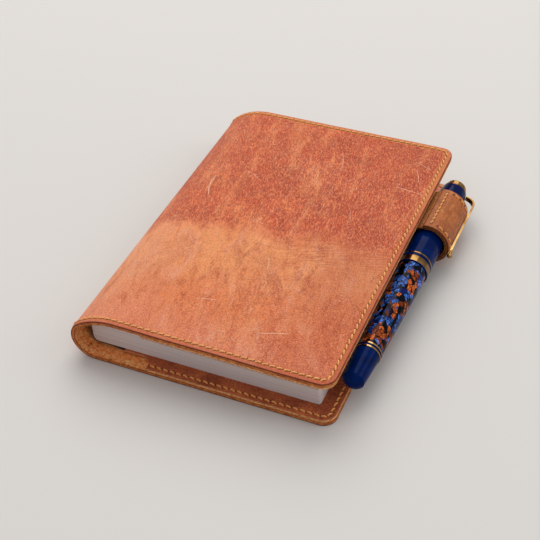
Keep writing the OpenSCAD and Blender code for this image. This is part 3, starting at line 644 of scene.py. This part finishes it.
def waxed_thread(name, dark, light):
    """Two strands laid round each other, darker in the twist."""
    made, where = finish_called(name)
    x, y, z = attribute(where, "lay", "Vector").axes()
    twist = maths("SINE", (x * 5600.0 + maths("ARCTAN2", y, z)) * 2.0)
    share = twist * 0.22 + cloud(where, 2600, 2, 0.6)
    base = blend(share.ramp(0.0, 0.7), dark, light)
    return finished(made, base, 0.55, (share, 0.00008, 0.6), 0.25)


def book_paper():
    """The leaves: fine layers of slightly different whites, greyer and warmer than the paper is, as painted
    shade.
    """
    made, where = finish_called("book_paper")
    layers = cloud(stretch(where, (700, 700, 1)), 5200, 3, 0.7)
    # Greyer and warmer than white paper, for the shade on the tail face: painted shade.
    base = blend(layers.ramp(0.3, 0.7), "ccbcb8", "e4d8d4")
    base = tint(base, (cloud(where, 30, 2, 0.5).ramp(0.3, 0.7), 0.08, "cbb4ab"))
    return finished(made, base, 0.86, (layers, 0.00005, 0.5))


def book_board():
    """The notebook's own soft cover: dark grey with a fine tooth."""
    made, where = finish_called("book_cover_card")
    tooth = cloud(where, 1500, 3, 0.6)
    base = blend(tooth.ramp(0.35, 0.65), "26272a", "3a3b3f")
    return finished(made, base, 0.55, (tooth, 0.00006, 0.6))


def polished(name, bright, deep, metal, rough, gloss=0.5):
    """A polished hard finish with faint wipe marks in its gloss."""
    made, where = finish_called(name)
    marks = streaks(where, 7, 0, 1700, 2, 0.5)
    base = blend(cloud(where, 90, 3, 0.5).ramp(0.35, 0.65), deep, bright)
    return finished(made, base, marks * (rough * 0.7) + rough, (marks, 0.000004, 0.35), gloss, metal)


def chip_resin():
    """Blue and rust blocks with bright flecks, cast in black resin."""
    made, where = finish_called("flaked_resin")
    zone = streaks(where, 1.5, 0, 170, 1, 0.5).ramp(0.44, 0.56, -0.36, 0.4)
    flecks = cloud(stretch(where, (1, 2.2, 1), (0.3, 0.2, -0.4)), 1500, 2, 0.6).ramp(0.36, 0.66, 0.15, 1.1)
    base = "030306"
    for scale, turn, kept in ((420, (0.4, 0.3, -0.5), 0.45), (600, (0.2, 0.5, 0.35), 0.5)):
        block = stretch(where, (1, 1.9, 1), turn)
        tone = add(where.tree, "ShaderNodeSeparateColor", {0: cells(block, scale, 0.85, output="Color")})
        pick, bright, chance = (Wire(output) for output in tone.outputs)
        lit = bright * flecks
        blue, rust = blend(lit, "04185a", "5a94f4"), blend(lit, "541a06", "f47a34")
        rim = cells(block, scale, 0.85, "DISTANCE_TO_EDGE").ramp(0.03, 0.09)
        there = maths("GREATER_THAN", chance, kept) * rim
        base = blend(there, base, blend(maths("GREATER_THAN", pick + zone, 0.5), blue, rust))
    return finished(made, base, 0.05, gloss=0.08)


# ---- threads ----

def stitch_tree():
    """A row of stitches on points that carry 'along' and 'up' directions."""
    inputs = [(title, "Float") for title in ("Length", "Thread", "Rise", "Slant", "Unevenness")]
    inputs = [("Places", "Geometry"), *inputs, ("Seed", "Int"), ("Finish", "Material")]
    tree, given = new_group("GeometryNodeTree", "sewn_stitches", inputs, ("Stitches", "Geometry"))

    def geometry(kind, inputs=None, **settings):
        return wire(tree, "GeometryNode" + kind, inputs, **settings)

    def align(inputs, **settings):
        return wire(tree, "FunctionNodeAlignRotationToVector", inputs, **settings)
    line = geometry("CurvePrimitiveLine", {"Start": (-0.5, 0, 0), "End": (0.5, 0, 0)})
    line = geometry("ResampleCurve", {"Curve": line, "Count": 7})
    x = geometry("InputPosition").axes()[0]
    height = (1.0 - abs(x * 2.0) ** 3.0 * 1.7) * given["Rise"]
    spot = wire(tree, "ShaderNodeCombineXYZ", {"X": x * given["Length"], "Z": height})
    line = geometry("SetPosition", {"Geometry": line, "Position": spot})
    ring = geometry("CurvePrimitiveCircle", {"Resolution": 7, "Radius": given["Thread"] * 0.5})
    body = geometry("CurveToMesh", {"Curve": line, "Profile Curve": ring, "Fill Caps": True})
    body = geometry("SetShadeSmooth", {"Geometry": body})
    place = geometry("InputPosition")
    lay = geometry(
        "StoreNamedAttribute", {"Geometry": body, "Name": "lay", "Value": place},
        data_type="FLOAT_VECTOR", domain="POINT",
    )
    along, up = (
        geometry("InputNamedAttribute", {"Name": name}, data_type="FLOAT_VECTOR") for name in ("along", "up")
    )
    turned = align({"Rotation": align({"Vector": along}, axis="X"), "Vector": up}, axis="Z", pivot_axis="X")
    chance = {"Min": -1.0, "Max": 1.0, "Seed": given["Seed"]}
    chance = wire(tree, "FunctionNodeRandomValue", chance, "Value", data_type="FLOAT")
    swing = wire(tree, "ShaderNodeCombineXYZ", {"Z": given["Slant"] + chance * given["Unevenness"]})
    swing = wire(tree, "FunctionNodeEulerToRotation", {0: swing})
    turned = {"Rotation": turned, "Rotate By": swing}
    turned = wire(tree, "FunctionNodeRotateRotation", turned, rotation_space="LOCAL")
    rows = geometry("InstanceOnPoints", {"Points": given["Places"], "Instance": lay, "Rotation": turned})
    real = geometry("RealizeInstances", {"Geometry": rows})
    done = geometry("SetMaterial", {"Geometry": real, "Material": given["Finish"]})
    add(tree, "NodeGroupOutput", {0: done})
    return tree


STITCHES = stitch_tree()


def sew(name, places, finish, seed, length=STITCH_LEN, thread=THREAD_W, rise=0.3, slant=16.0, uneven=3.0):
    """Stitches at places, each (point in mm, direction along the seam, direction out of the leather)."""
    spots = mesh_object(name + "_places", [place[0] for place in places], [])
    for key, k in (("along", 1), ("up", 2)):
        layer = spots.data.attributes.new(key, "FLOAT_VECTOR", "POINT")
        layer.data.foreach_set("vector", [c for place in places for c in place[k]])
    maker = spots.modifiers.new("stitches", "NODES")
    maker.node_group = STITCHES
    given = {
        "Length": length * MM, "Thread": thread * MM, "Rise": rise * MM, "Slant": radians(slant),
        "Unevenness": radians(uneven), "Seed": seed, "Finish": finish,
    }
    for item in STITCHES.interface.items_tree:
        if item.name in given:
            maker[item.identifier] = given[item.name]
    mesh = evaluated_mesh(spots)
    mesh.name = name
    bpy.data.objects.remove(spots)
    return in_scene(name, mesh)


# Half the distance over which a seam's direction is taken, and the depth over which the way out is
SEAM_STEP, OUT_STEP = 0.2, 0.1


def seam_places(place, depth, reach, gap=None):
    """Stitch places round a leaf: along head and tail as far as reach, and along the fore edge."""
    spots = []
    for side in (-1, 1):
        i = 0
        while (p := CORNER_R + (i + 0.5) * EDGE_RUN) < reach:
            spots.append((p, side * (COVER_H / 2 - SEAM_INSET), side, 0.0))
            i += 1
        for i in range(2):
            a = (i + 0.5) * pi / 4
            r = CORNER_R - SEAM_INSET
            spots.append((CORNER_R - r * cos(a), side * (Y_FLAT + r * sin(a)), side * sin(a), cos(a)))
    for i in range(FORE_RUNS):
        y = -Y_FLAT + (i + 0.5) * FORE_RUN
        if gap is None or not gap[0] < y < gap[1]:
            spots.append((SEAM_INSET, y, 0.0, 1.0))
    found = []
    for p, y, dp, dy in spots:
        here = place(p, y, depth)
        dp, dy = dp * SEAM_STEP, dy * SEAM_STEP
        ahead = place(p + dp, y + dy, depth) - place(p - dp, y - dy, depth)
        out = place(p, y, depth - OUT_STEP) - here
        found.append((here, ahead.normalized(), out.normalized()))
    return found


# ---- finishes on hand ----

COVER = pull_up_leather()
COVER_EDGE = raw_edge("cover_edge", "a04e24", "da8444", "6a2610", LEATHER_T)
# Written lighter than the leather is, so that the inside of the spine, in shade, looks lit: painted light.
COVER_FLESH = suede("cover_flesh", "7a2e10", "ff9c54", "ffdc9c", sewn=True)
POCKET = pocket_leather()
POCKET_EDGE = raw_edge("pocket_edge", "b86e3a", "ffbe80", "c07840", STACK_T + 1, 700)
POCKET_FLESH = suede("pocket_flesh", "6b2f14", "a4572a", "cf8a55")
LOOP = loop_leather()
LOOP_EDGE = raw_edge("loop_edge", "84441e", "c07838", "5c2c12", STRAP_T + 1, 600)
LINER = suede("loop_liner_nap", "703a1a", "c07a46", "e0a470")
THREAD = waxed_thread("amber_thread", "d88038", "ffbe78")
THREAD_IN = waxed_thread("cream_thread", "cc7430", "ffb468")
LOOP_THREAD = waxed_thread("tan_thread", "d07a34", "ffb468")
PAPER = book_paper()

# The finish of each material slot of the frame
FINISHES = {
    "paper": PAPER, "notebook_cover": book_board(),
    "navy_resin": polished("navy_resin_polish", "00205e", "001344", 0.0, 0.05, 0.045),
    "gold_trim": polished("gold_plate", "bc9458", "785630", 1.0, 0.09),
    "gold_nib": polished("nib_gold", "f0c878", "d4a050", 1.0, 0.16),
    "black_plastic": polished("moulded_black", "17171a", "0c0c0e", 0.0, 0.35),
    "steel_rod": polished("turned_steel", "b9bbbe", "8f9195", 1.0, 0.22),
    "seal_rubber": polished("seal_rubber_black", "1a1a1a", "0e0e0e", 0.0, 0.6),
    "chip_resin": chip_resin(),
    "outer_leather": COVER, "lining_leather": POCKET, "loop_leather": LOOP, "thread": THREAD,
}


def dress_nodes():
    """Finishes the pieces that are kept from the frame."""
    slots = {part["node"]: part["material_slot"] for part in frame["record"]["subparts"]}
    for name, piece in frame["nodes"].items():
        for place in piece.material_slots:
            place.material = FINISHES[slots[name]]


# ---- cover ----

# Rings round a panel's edge: distance from the edge, depth, material
OUTER_RINGS = [
    (4.4, 0, 0), (3.4, 0, 0), (2.95, 0.06, 0), (2.7, 0.26, 0), (2.5, 0.34, 0), (2.3, 0.26, 0),
    (2.05, 0.04, 0), (1.5, -0.03, 0), (0.8, 0, 0), (0.3, 0.04, 0), (0.1, 0.14, 0), (0.02, 0.3, 0),
    (0, 0.5, 1), (0.04, 1.0, 1), (0, 1.5, 1), (0.05, 1.8, 1), (0.16, 1.88, 1), (4.4, 1.9, 2),
]
POCKET_RINGS = [
    (4.4, STACK_T, 0), (3.4, STACK_T, 0), (2.95, STACK_T - 0.05, 0), (2.5, STACK_T - 0.3, 0),
    (2.05, STACK_T - 0.05, 0), (1.3, STACK_T + 0.02, 0), (0.5, STACK_T, 0), (0.24, STACK_T - 0.08, 0),
    (0.16, STACK_T - 0.25, 1), (0.1, 2.5, 1), (0.14, 2.1, 1), (0.24, 1.96, 1), (4.4, 1.91, 2),
]

# From the fore edge to where a pocket's edge comes out of its mouth
POCKET_REACH = COVER_W - MOUTH_END_X


def blend_halves(back, front):
    """Bakes the placing of the pieces of the two halves into their meshes."""
    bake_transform(back)
    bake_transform(front)


def dress_cover():
    skins = [COVER, COVER_EDGE, COVER_FLESH]
    back = panel("back_cover_leather", back_leaf, U_MID, OUTER_RINGS, skins)
    front = panel("front_cover_leather", front_leaf, U_END - U_MID, OUTER_RINGS, skins, reverse=True)
    for piece, nodes in ((back, ("cover_back", "cover_spine")), (front, ("cover_front",))):
        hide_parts(*nodes)
    blend_halves(back, front)


MOUTH_STEPS = 8
# The heights between which each pocket is cut, and the room round the strap's tongue
BACK_CUT, FRONT_CUT, TONGUE_GAP = (0.5, 5.0), (19.5, 24.2), 0.3


def cutter(name, outline, heights):
    """A prism from an outline in the XY plane, in the row frame, in mm."""
    return stack(name, [[Vector((x, y, z)) for x, y in outline] for z in heights])


def cut(piece, tools):
    """Cuts the tools out of a piece and deletes them."""
    for tool in tools:
        saw = piece.modifiers.new("cut", "BOOLEAN")
        saw.object, saw.operation, saw.solver = tool, "DIFFERENCE", "EXACT"
    mesh = evaluated_mesh(piece)
    piece.modifiers.clear()
    piece.data = mesh
    for tool in tools:
        bpy.data.objects.remove(tool)


def mouth_outline(side):
    """Where a pocket's mouth is cut back, at head (1) or tail (-1); the cut runs past the leather."""
    x1, past = MOUTH_END_X - COVER_W / 2, COVER_H / 2 + 1
    x0, y1 = x1 - 20, COVER_H / 2 - MOUTH_END_Y
    outline = [(x0, past), (x0, y1)]
    for i in range(MOUTH_STEPS + 1):
        a = i / MOUTH_STEPS * pi / 2
        outline.append((x1 - MOUTH_R + MOUTH_R * sin(a), y1 + MOUTH_R - MOUTH_R * cos(a)))
    outline.append((x1, past))
    return [(x, side * y) for x, y in (outline if side < 0 else reversed(outline))]


def tongue_outline():
    """Where the back pocket leaves room for the tongue of the loop's strap."""
    x0, x1, half = -LOOP_OUT - TONGUE - TONGUE_GAP, 8, LOOP_LEN / 2 + TONGUE_GAP
    corners = ((x0, -half), (x1, -half), (x1, half), (x0, half))
    return [(PEN_AT + PEN_SIDE * x + PEN_AXIS * y).xy for x, y in corners]


def dress_pockets():
    for name, node, place, body, heights in (
        ("back_pocket_leather", "pocket_back", back_leaf, "root", BACK_CUT),
        ("front_pocket_leather", "pocket_front", front_leaf, "front_cover", FRONT_CUT),
    ):
        def lifted(p, y, depth):
            return place(p, y, depth + board_rise(p, y))
        at_back = node == "pocket_back"
        piece = panel(
            name, lifted, COVER_W - MOUTH_X, POCKET_RINGS, [POCKET, POCKET_EDGE, POCKET_FLESH],
            grid=1.5, reverse=at_back,
        )
        tools = [cutter(f"mouth_{side}", mouth_outline(side), heights) for side in (-1, 1)]
        if at_back:
            tools.append(cutter("tongue_gap", tongue_outline(), heights))
        cut(piece, tools)
        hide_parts(node)
        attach(piece, body)


# How deep the threads lie, and the room that the back pocket's seam leaves at each side of the loop
BACK_THREAD_Z, FRONT_THREAD_Z, POCKET_THREAD_Z = 0.66, 0.1, 0.12
LOOP_SIDE_GAP = 0.8


def dress_seams():
    half = LOOP_LEN / 2 + LOOP_SIDE_GAP
    gap = (PEN_AT.y - half, PEN_AT.y + half)
    back = sew("back_seam_thread", seam_places(back_leaf, BACK_THREAD_Z, U_MID), THREAD, seed=3)
    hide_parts("seam_back", "seam_spine")
    front = sew("front_seam_thread", seam_places(front_leaf, FRONT_THREAD_Z, U_END - U_MID), THREAD, seed=4)
    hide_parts("seam_front")
    blend_halves(back, front)
    for name, place, body, hole in (
        ("back_pocket_thread", back_leaf, "root", gap),
        ("front_pocket_thread", front_leaf, "front_cover", None),
    ):
        def inner(p, y, depth):
            return place(p, y, STACK_T - depth)
        spots = seam_places(inner, POCKET_THREAD_Z, POCKET_REACH, hole)
        piece = sew(name, spots, THREAD_IN, length=2.0, thread=0.8, slant=-14.0, seed=5)
        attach(piece, body)


# Fibres: their pitch, how deep in the leather they start, and half the length that gives an edge's direction
FRAY_STEP, FRAY_INSIDE, FRAY_AHEAD = 0.42, 0.1, 0.2


def frayed(name, place, p0, p1, depth, seed, finish):
    """Short loose fibres that hang from a cut edge at head and tail, between two lengths."""
    chance = random.Random(seed)
    places = []
    for side in (-1, 1):
        for p in steps(p0, p1, FRAY_STEP):
            p += chance.uniform(-0.2, 0.2)
            y = side * (COVER_H / 2 - chance.uniform(0.05, 0.5))
            spot = place(p, y, depth + chance.uniform(-0.05, 0.3))
            inward = (place(p, y, depth + 1) - place(p, y, depth)).normalized()
            ahead = (place(p + FRAY_AHEAD, y, depth) - place(p - FRAY_AHEAD, y, depth)).normalized()
            out = Vector((0, side, 0))
            lie = inward * chance.uniform(0.2, 0.9) + out * chance.uniform(0.0, 0.6)
            lie += ahead * chance.uniform(-0.9, 0.9)
            places.append((spot, lie.normalized(), out))
    return sew(name, places, finish, length=0.9, thread=0.11, rise=0.1, slant=0.0, seed=seed, uneven=30.0)


def dress_fraying():
    depth = LEATHER_T - FRAY_INSIDE
    back = frayed("back_frayed_edge", back_leaf, POCKET_REACH, U_MID, depth, 21, COVER_EDGE)
    front = frayed("front_frayed_edge", front_leaf, POCKET_REACH, U_END - U_MID, depth, 22, POCKET_EDGE)
    blend_halves(back, front)
    lining = frayed(
        "front_frayed_lining", front_leaf, CORNER_R, POCKET_REACH, STACK_T - 0.15, 23, POCKET_EDGE
    )
    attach(lining, "front_cover")


# ---- leaves of the notebook ----

LEAF_STEP = 0.3
# How far a layer may stand back, and how much more each seventh one does
LEAF_BACK, SEVENTH_BACK = 0.09, 0.12
# The round edge at the spine: centre and radius below, radius above
FOLD_X, FOLD_Z, FOLD_R = 7.2, 5.7, 2.0
BOOK_PLAY = 0.3
FOLD_HIGH_R = HIGH_R - LEATHER_T - BOOK_PLAY - BOARD_T


def leaves(name, z0, z1, spine_x, seed):
    """A block of leaves whose edges stand a little unevenly, layer by layer."""
    chance = random.Random(seed)
    rings = []
    for k, z in enumerate(steps(z0, z1, LEAF_STEP)):
        back = chance.uniform(0.0, LEAF_BACK) + (SEVENTH_BACK if k % 7 == 3 else 0.0)
        x0, x1, y, r = spine_x(z), PAGES_X1 - back, BOOK_H / 2 - back, PAGES_R
        outline = [(x0, -y)]
        for side, first in ((-1, -pi / 2), (1, 0.0)):
            for i in range(7):
                a = first + i / 6 * pi / 2
                outline.append((x1 - r + r * cos(a), side * (y - r) + r * sin(a)))
        outline.append((x0, y))
        rings.append([Vector((x - COVER_W / 2, v - BOOK_SHIFT, z)) for x, v in outline])
    made = stack(name, rings, [PAPER])
    made.data.polygons.foreach_set("use_smooth", [False] * len(made.data.polygons))
    return made


def dress_leaves():
    def low_spine(z):
        return FOLD_X - sqrt(max(0.0, FOLD_R**2 - max(0.0, FOLD_Z - z) ** 2))

    def high_spine(z):
        return max(PAGES_X0, HIGH_X - sqrt(FOLD_HIGH_R**2 - (z - HIGH_Z) ** 2))
    for name, node, body, z0, z1, spine_x in (
        ("page_leaves", "page_block", "root", PAGES_Z0, TURN_Z, low_spine),
        ("turned_page_leaves", "front_leaves", "turned_leaves", TURN_Z, PAGES_Z1, high_spine),
    ):
        piece = leaves(name, z0, z1, spine_x, seed=31)
        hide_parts(node)
        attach(piece, body)


# ---- pen loop ----

# An edge is softened over two rows: the first one's place, and how far it and the strip's ends fall
EDGE_ROW, ROW_FALL, END_FALL = 0.12, 0.35, 0.8
# The seam keeps off the loop's ends, and the threads are sunk in the strap
SEAM_END, SEAM_SUNK, END_SUNK = 2, 0.08, 0.1


def on_loop(angle, s, r):
    """A point at an angle round the pen, a station along it and a distance from its axis, in mm."""
    a = radians(angle)
    return PEN_AT + PEN_SIDE * (r * cos(a)) + PEN_AXIS * s + Vector((0, 0, r * sin(a)))


def out_of_loop(angle, s):
    return on_loop(angle, s, 1) - on_loop(angle, s, 0)


def plate(name, place, length, outer, inner, materials, size=1.0, round_edge=0.35, closed=False):
    """A strip as wide as the loop, with softened edges; place(u, v, r) puts a point at a radius."""
    half = LOOP_LEN / 2
    us = steps(0.0, length, size)
    vs = [-half, -half + EDGE_ROW, -half + round_edge]
    vs += steps(-half + round_edge, half - round_edge, 1.2)[1:] + [half - EDGE_ROW, half]
    n = len(vs)
    drop = {0: round_edge, 1: round_edge * ROW_FALL}
    points, faces, kinds = [], [], []
    runs, offsets, depths = [], [], []
    for i, u in enumerate(us):
        end = 0.0 if closed or 0 < i < len(us) - 1 else round_edge * END_FALL
        for layer, r, sign in ((0, outer, -1.0), (1, inner, 0.5)):
            falls = [max(drop.get(min(j, n - 1 - j), 0.0), end) for j in range(n)]
            points += [place(u, v, r + sign * fall) for v, fall in zip(vs, falls)]
            runs += [u] * n
            offsets += vs
            depths += [layer * abs(outer - inner)] * n
    rows = [range(k, k + 2 * n) for k in range(0, len(points), 2 * n)]
    for a, b in zip(rows, rows[1:]):
        for j in range(n - 1):
            faces += [(a[j], b[j], b[j + 1], a[j + 1]), (a[n + j + 1], b[n + j + 1], b[n + j], a[n + j])]
            kinds += [1, 1] if j in (0, n - 2) else [0, 2]
        faces += [(a[0], a[n], b[n], b[0]), (a[n - 1], b[n - 1], b[-1], a[-1])]
        kinds += [1, 1]
    if not closed:
        for row, order in ((rows[0], 1), (rows[-1], -1)):
            faces += [(row[j], row[j + 1], row[n + j + 1], row[n + j])[::order] for j in range(n - 1)]
            kinds += [1] * (n - 1)
    made = mesh_object(name, points, faces, materials, kinds, run=runs, offset=offsets, depth=depths)
    turn_outwards(made)
    return made


def on_strap(t, s, lift):
    """A point of the strap at a length from its tongue's tip: first flat on the cover, then round the pen."""
    flat = loop_run(STRAP_START)
    if t < flat:
        x, z = -LOOP_OUT - TONGUE + t, LEATHER_T + STRAP_T / 2 - PEN_AT.z - lift
    else:
        a = radians(STRAP_START) + (t - flat) / STRAP_MID
        x, z = (STRAP_MID + lift) * cos(a), (STRAP_MID + lift) * sin(a)
    return PEN_AT + PEN_SIDE * x + PEN_AXIS * s + Vector((0, 0, z))


def dress_loop():
    strap = plate(
        "loop_strap_leather", on_strap, loop_run(STRAP_END), STRAP_T / 2, -STRAP_T / 2,
        [LOOP, LOOP_EDGE, LOOP_EDGE], size=0.8,
    )
    liner = plate(
        "loop_liner_leather", on_loop, 360.0, LINER_R, LOOP_R, [LINER, LOOP_EDGE, LINER],
        size=4.0, round_edge=0.2, closed=True,
    )
    places = []
    count = int((LOOP_LEN - 2 * SEAM_END) / LOOP_PITCH)
    for i in range(count):
        s = (i - (count - 1) / 2) * LOOP_PITCH
        places.append((on_loop(LOOP_SEAM, s, STRAP_R - SEAM_SUNK), PEN_AXIS, out_of_loop(LOOP_SEAM, s)))
    for s in (-LOOP_LEN / 2 + END_INSET, LOOP_LEN / 2 - END_INSET):
        for angle in END_ANGLES:
            along = on_loop(angle + 1, s, 10) - on_loop(angle - 1, s, 10)
            places.append((on_loop(angle, s, STRAP_R - END_SUNK), along.normalized(), out_of_loop(angle, s)))
    thread = sew("loop_seam_thread", places, LOOP_THREAD, length=2.1, thread=0.72, slant=-14.0, seed=8)
    for piece, node, slot in (
        (strap, "loop_strap", "loop_leather"), (liner, "loop_liner", "lining_leather"),
        (thread, "loop_seam", "thread"),
    ):
        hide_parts(node)
        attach(piece, "root")


# ---- stage ----

FLOOR_HALF = 3.0
# Where the camera stands in metres, and its turns in degrees
CAMERA_AT = (0.16725, -0.36086, 0.34927)
AZIMUTH, ELEVATION, ROLL = -25.37, 41.45, -3.177


def add_light(name, place, size, power, tone):
    """A round panel of light that faces the origin."""
    lamp = bpy.data.lights.new(name, "AREA")
    lamp.shape, lamp.size, lamp.energy, lamp.color = "DISK", size, power, tone
    made = in_scene(name, lamp)
    made.location = place
    made.rotation_euler = (-Vector(place)).to_track_quat("-Z", "Y").to_euler()


def set_stage():
    paint, _ = finish_called("floor_paint")
    finished(paint, colour("d9d5d0"), 0.8)
    corners = ((-1, -1), (1, -1), (1, 1), (-1, 1))
    points = [Vector((x * FLOOR_HALF, y * FLOOR_HALF, 0)) / MM for x, y in corners]
    floor = mesh_object("floor", points, [(0, 1, 2, 3)], [paint])
    world = bpy.data.worlds.new("studio")
    bpy.context.scene.world = world
    world.use_nodes = True
    sky = world.node_tree
    _, y, z = wire(sky, "ShaderNodeTexCoord", output="Generated").axes()
    tone = blend((y * 0.35 + z).ramp(-0.1, 1.0), (0.5, 0.5, 0.52, 1), (0.95, 0.97, 1.0, 1))
    feed(sky.nodes["Background"], {"Color": tone, "Strength": 0.7})
    add_light("sky_panel", (-0.5, 1.1, 1.5), 2.2, 24.0, (1.0, 0.97, 0.93))
    add_light("side_panel", (1.3, 0.5, 0.8), 1.0, 3.0, (1.0, 0.98, 0.96))


def set_camera():
    """Looks down at the cover from beyond its tail, turned to the fore edge."""
    azimuth, elevation, roll = (radians(a) for a in (AZIMUTH, ELEVATION, ROLL))
    forward = Vector((sin(azimuth) * cos(elevation), cos(azimuth) * cos(elevation), -sin(elevation)))
    right = forward.cross(Vector((0, 0, 1))).normalized()
    up = right.cross(forward)
    side = right * cos(roll) + up * sin(roll)
    top = up * cos(roll) - right * sin(roll)
    lens = bpy.data.cameras.new("view")
    lens.lens, lens.sensor_width, lens.clip_start = 76.0, 36.0, 0.01
    camera = in_scene("view", lens)
    turn = Matrix((side, top, -forward)).transposed()
    camera.matrix_world = Matrix.Translation(CAMERA_AT) @ turn.to_4x4()
    bpy.context.scene.camera = camera


bpy.context.scene.view_settings.view_transform = "Standard"
dress_nodes()
dress_cover()
dress_pockets()
dress_seams()
dress_leaves()
dress_fraying()
dress_loop()
set_stage()
set_camera()
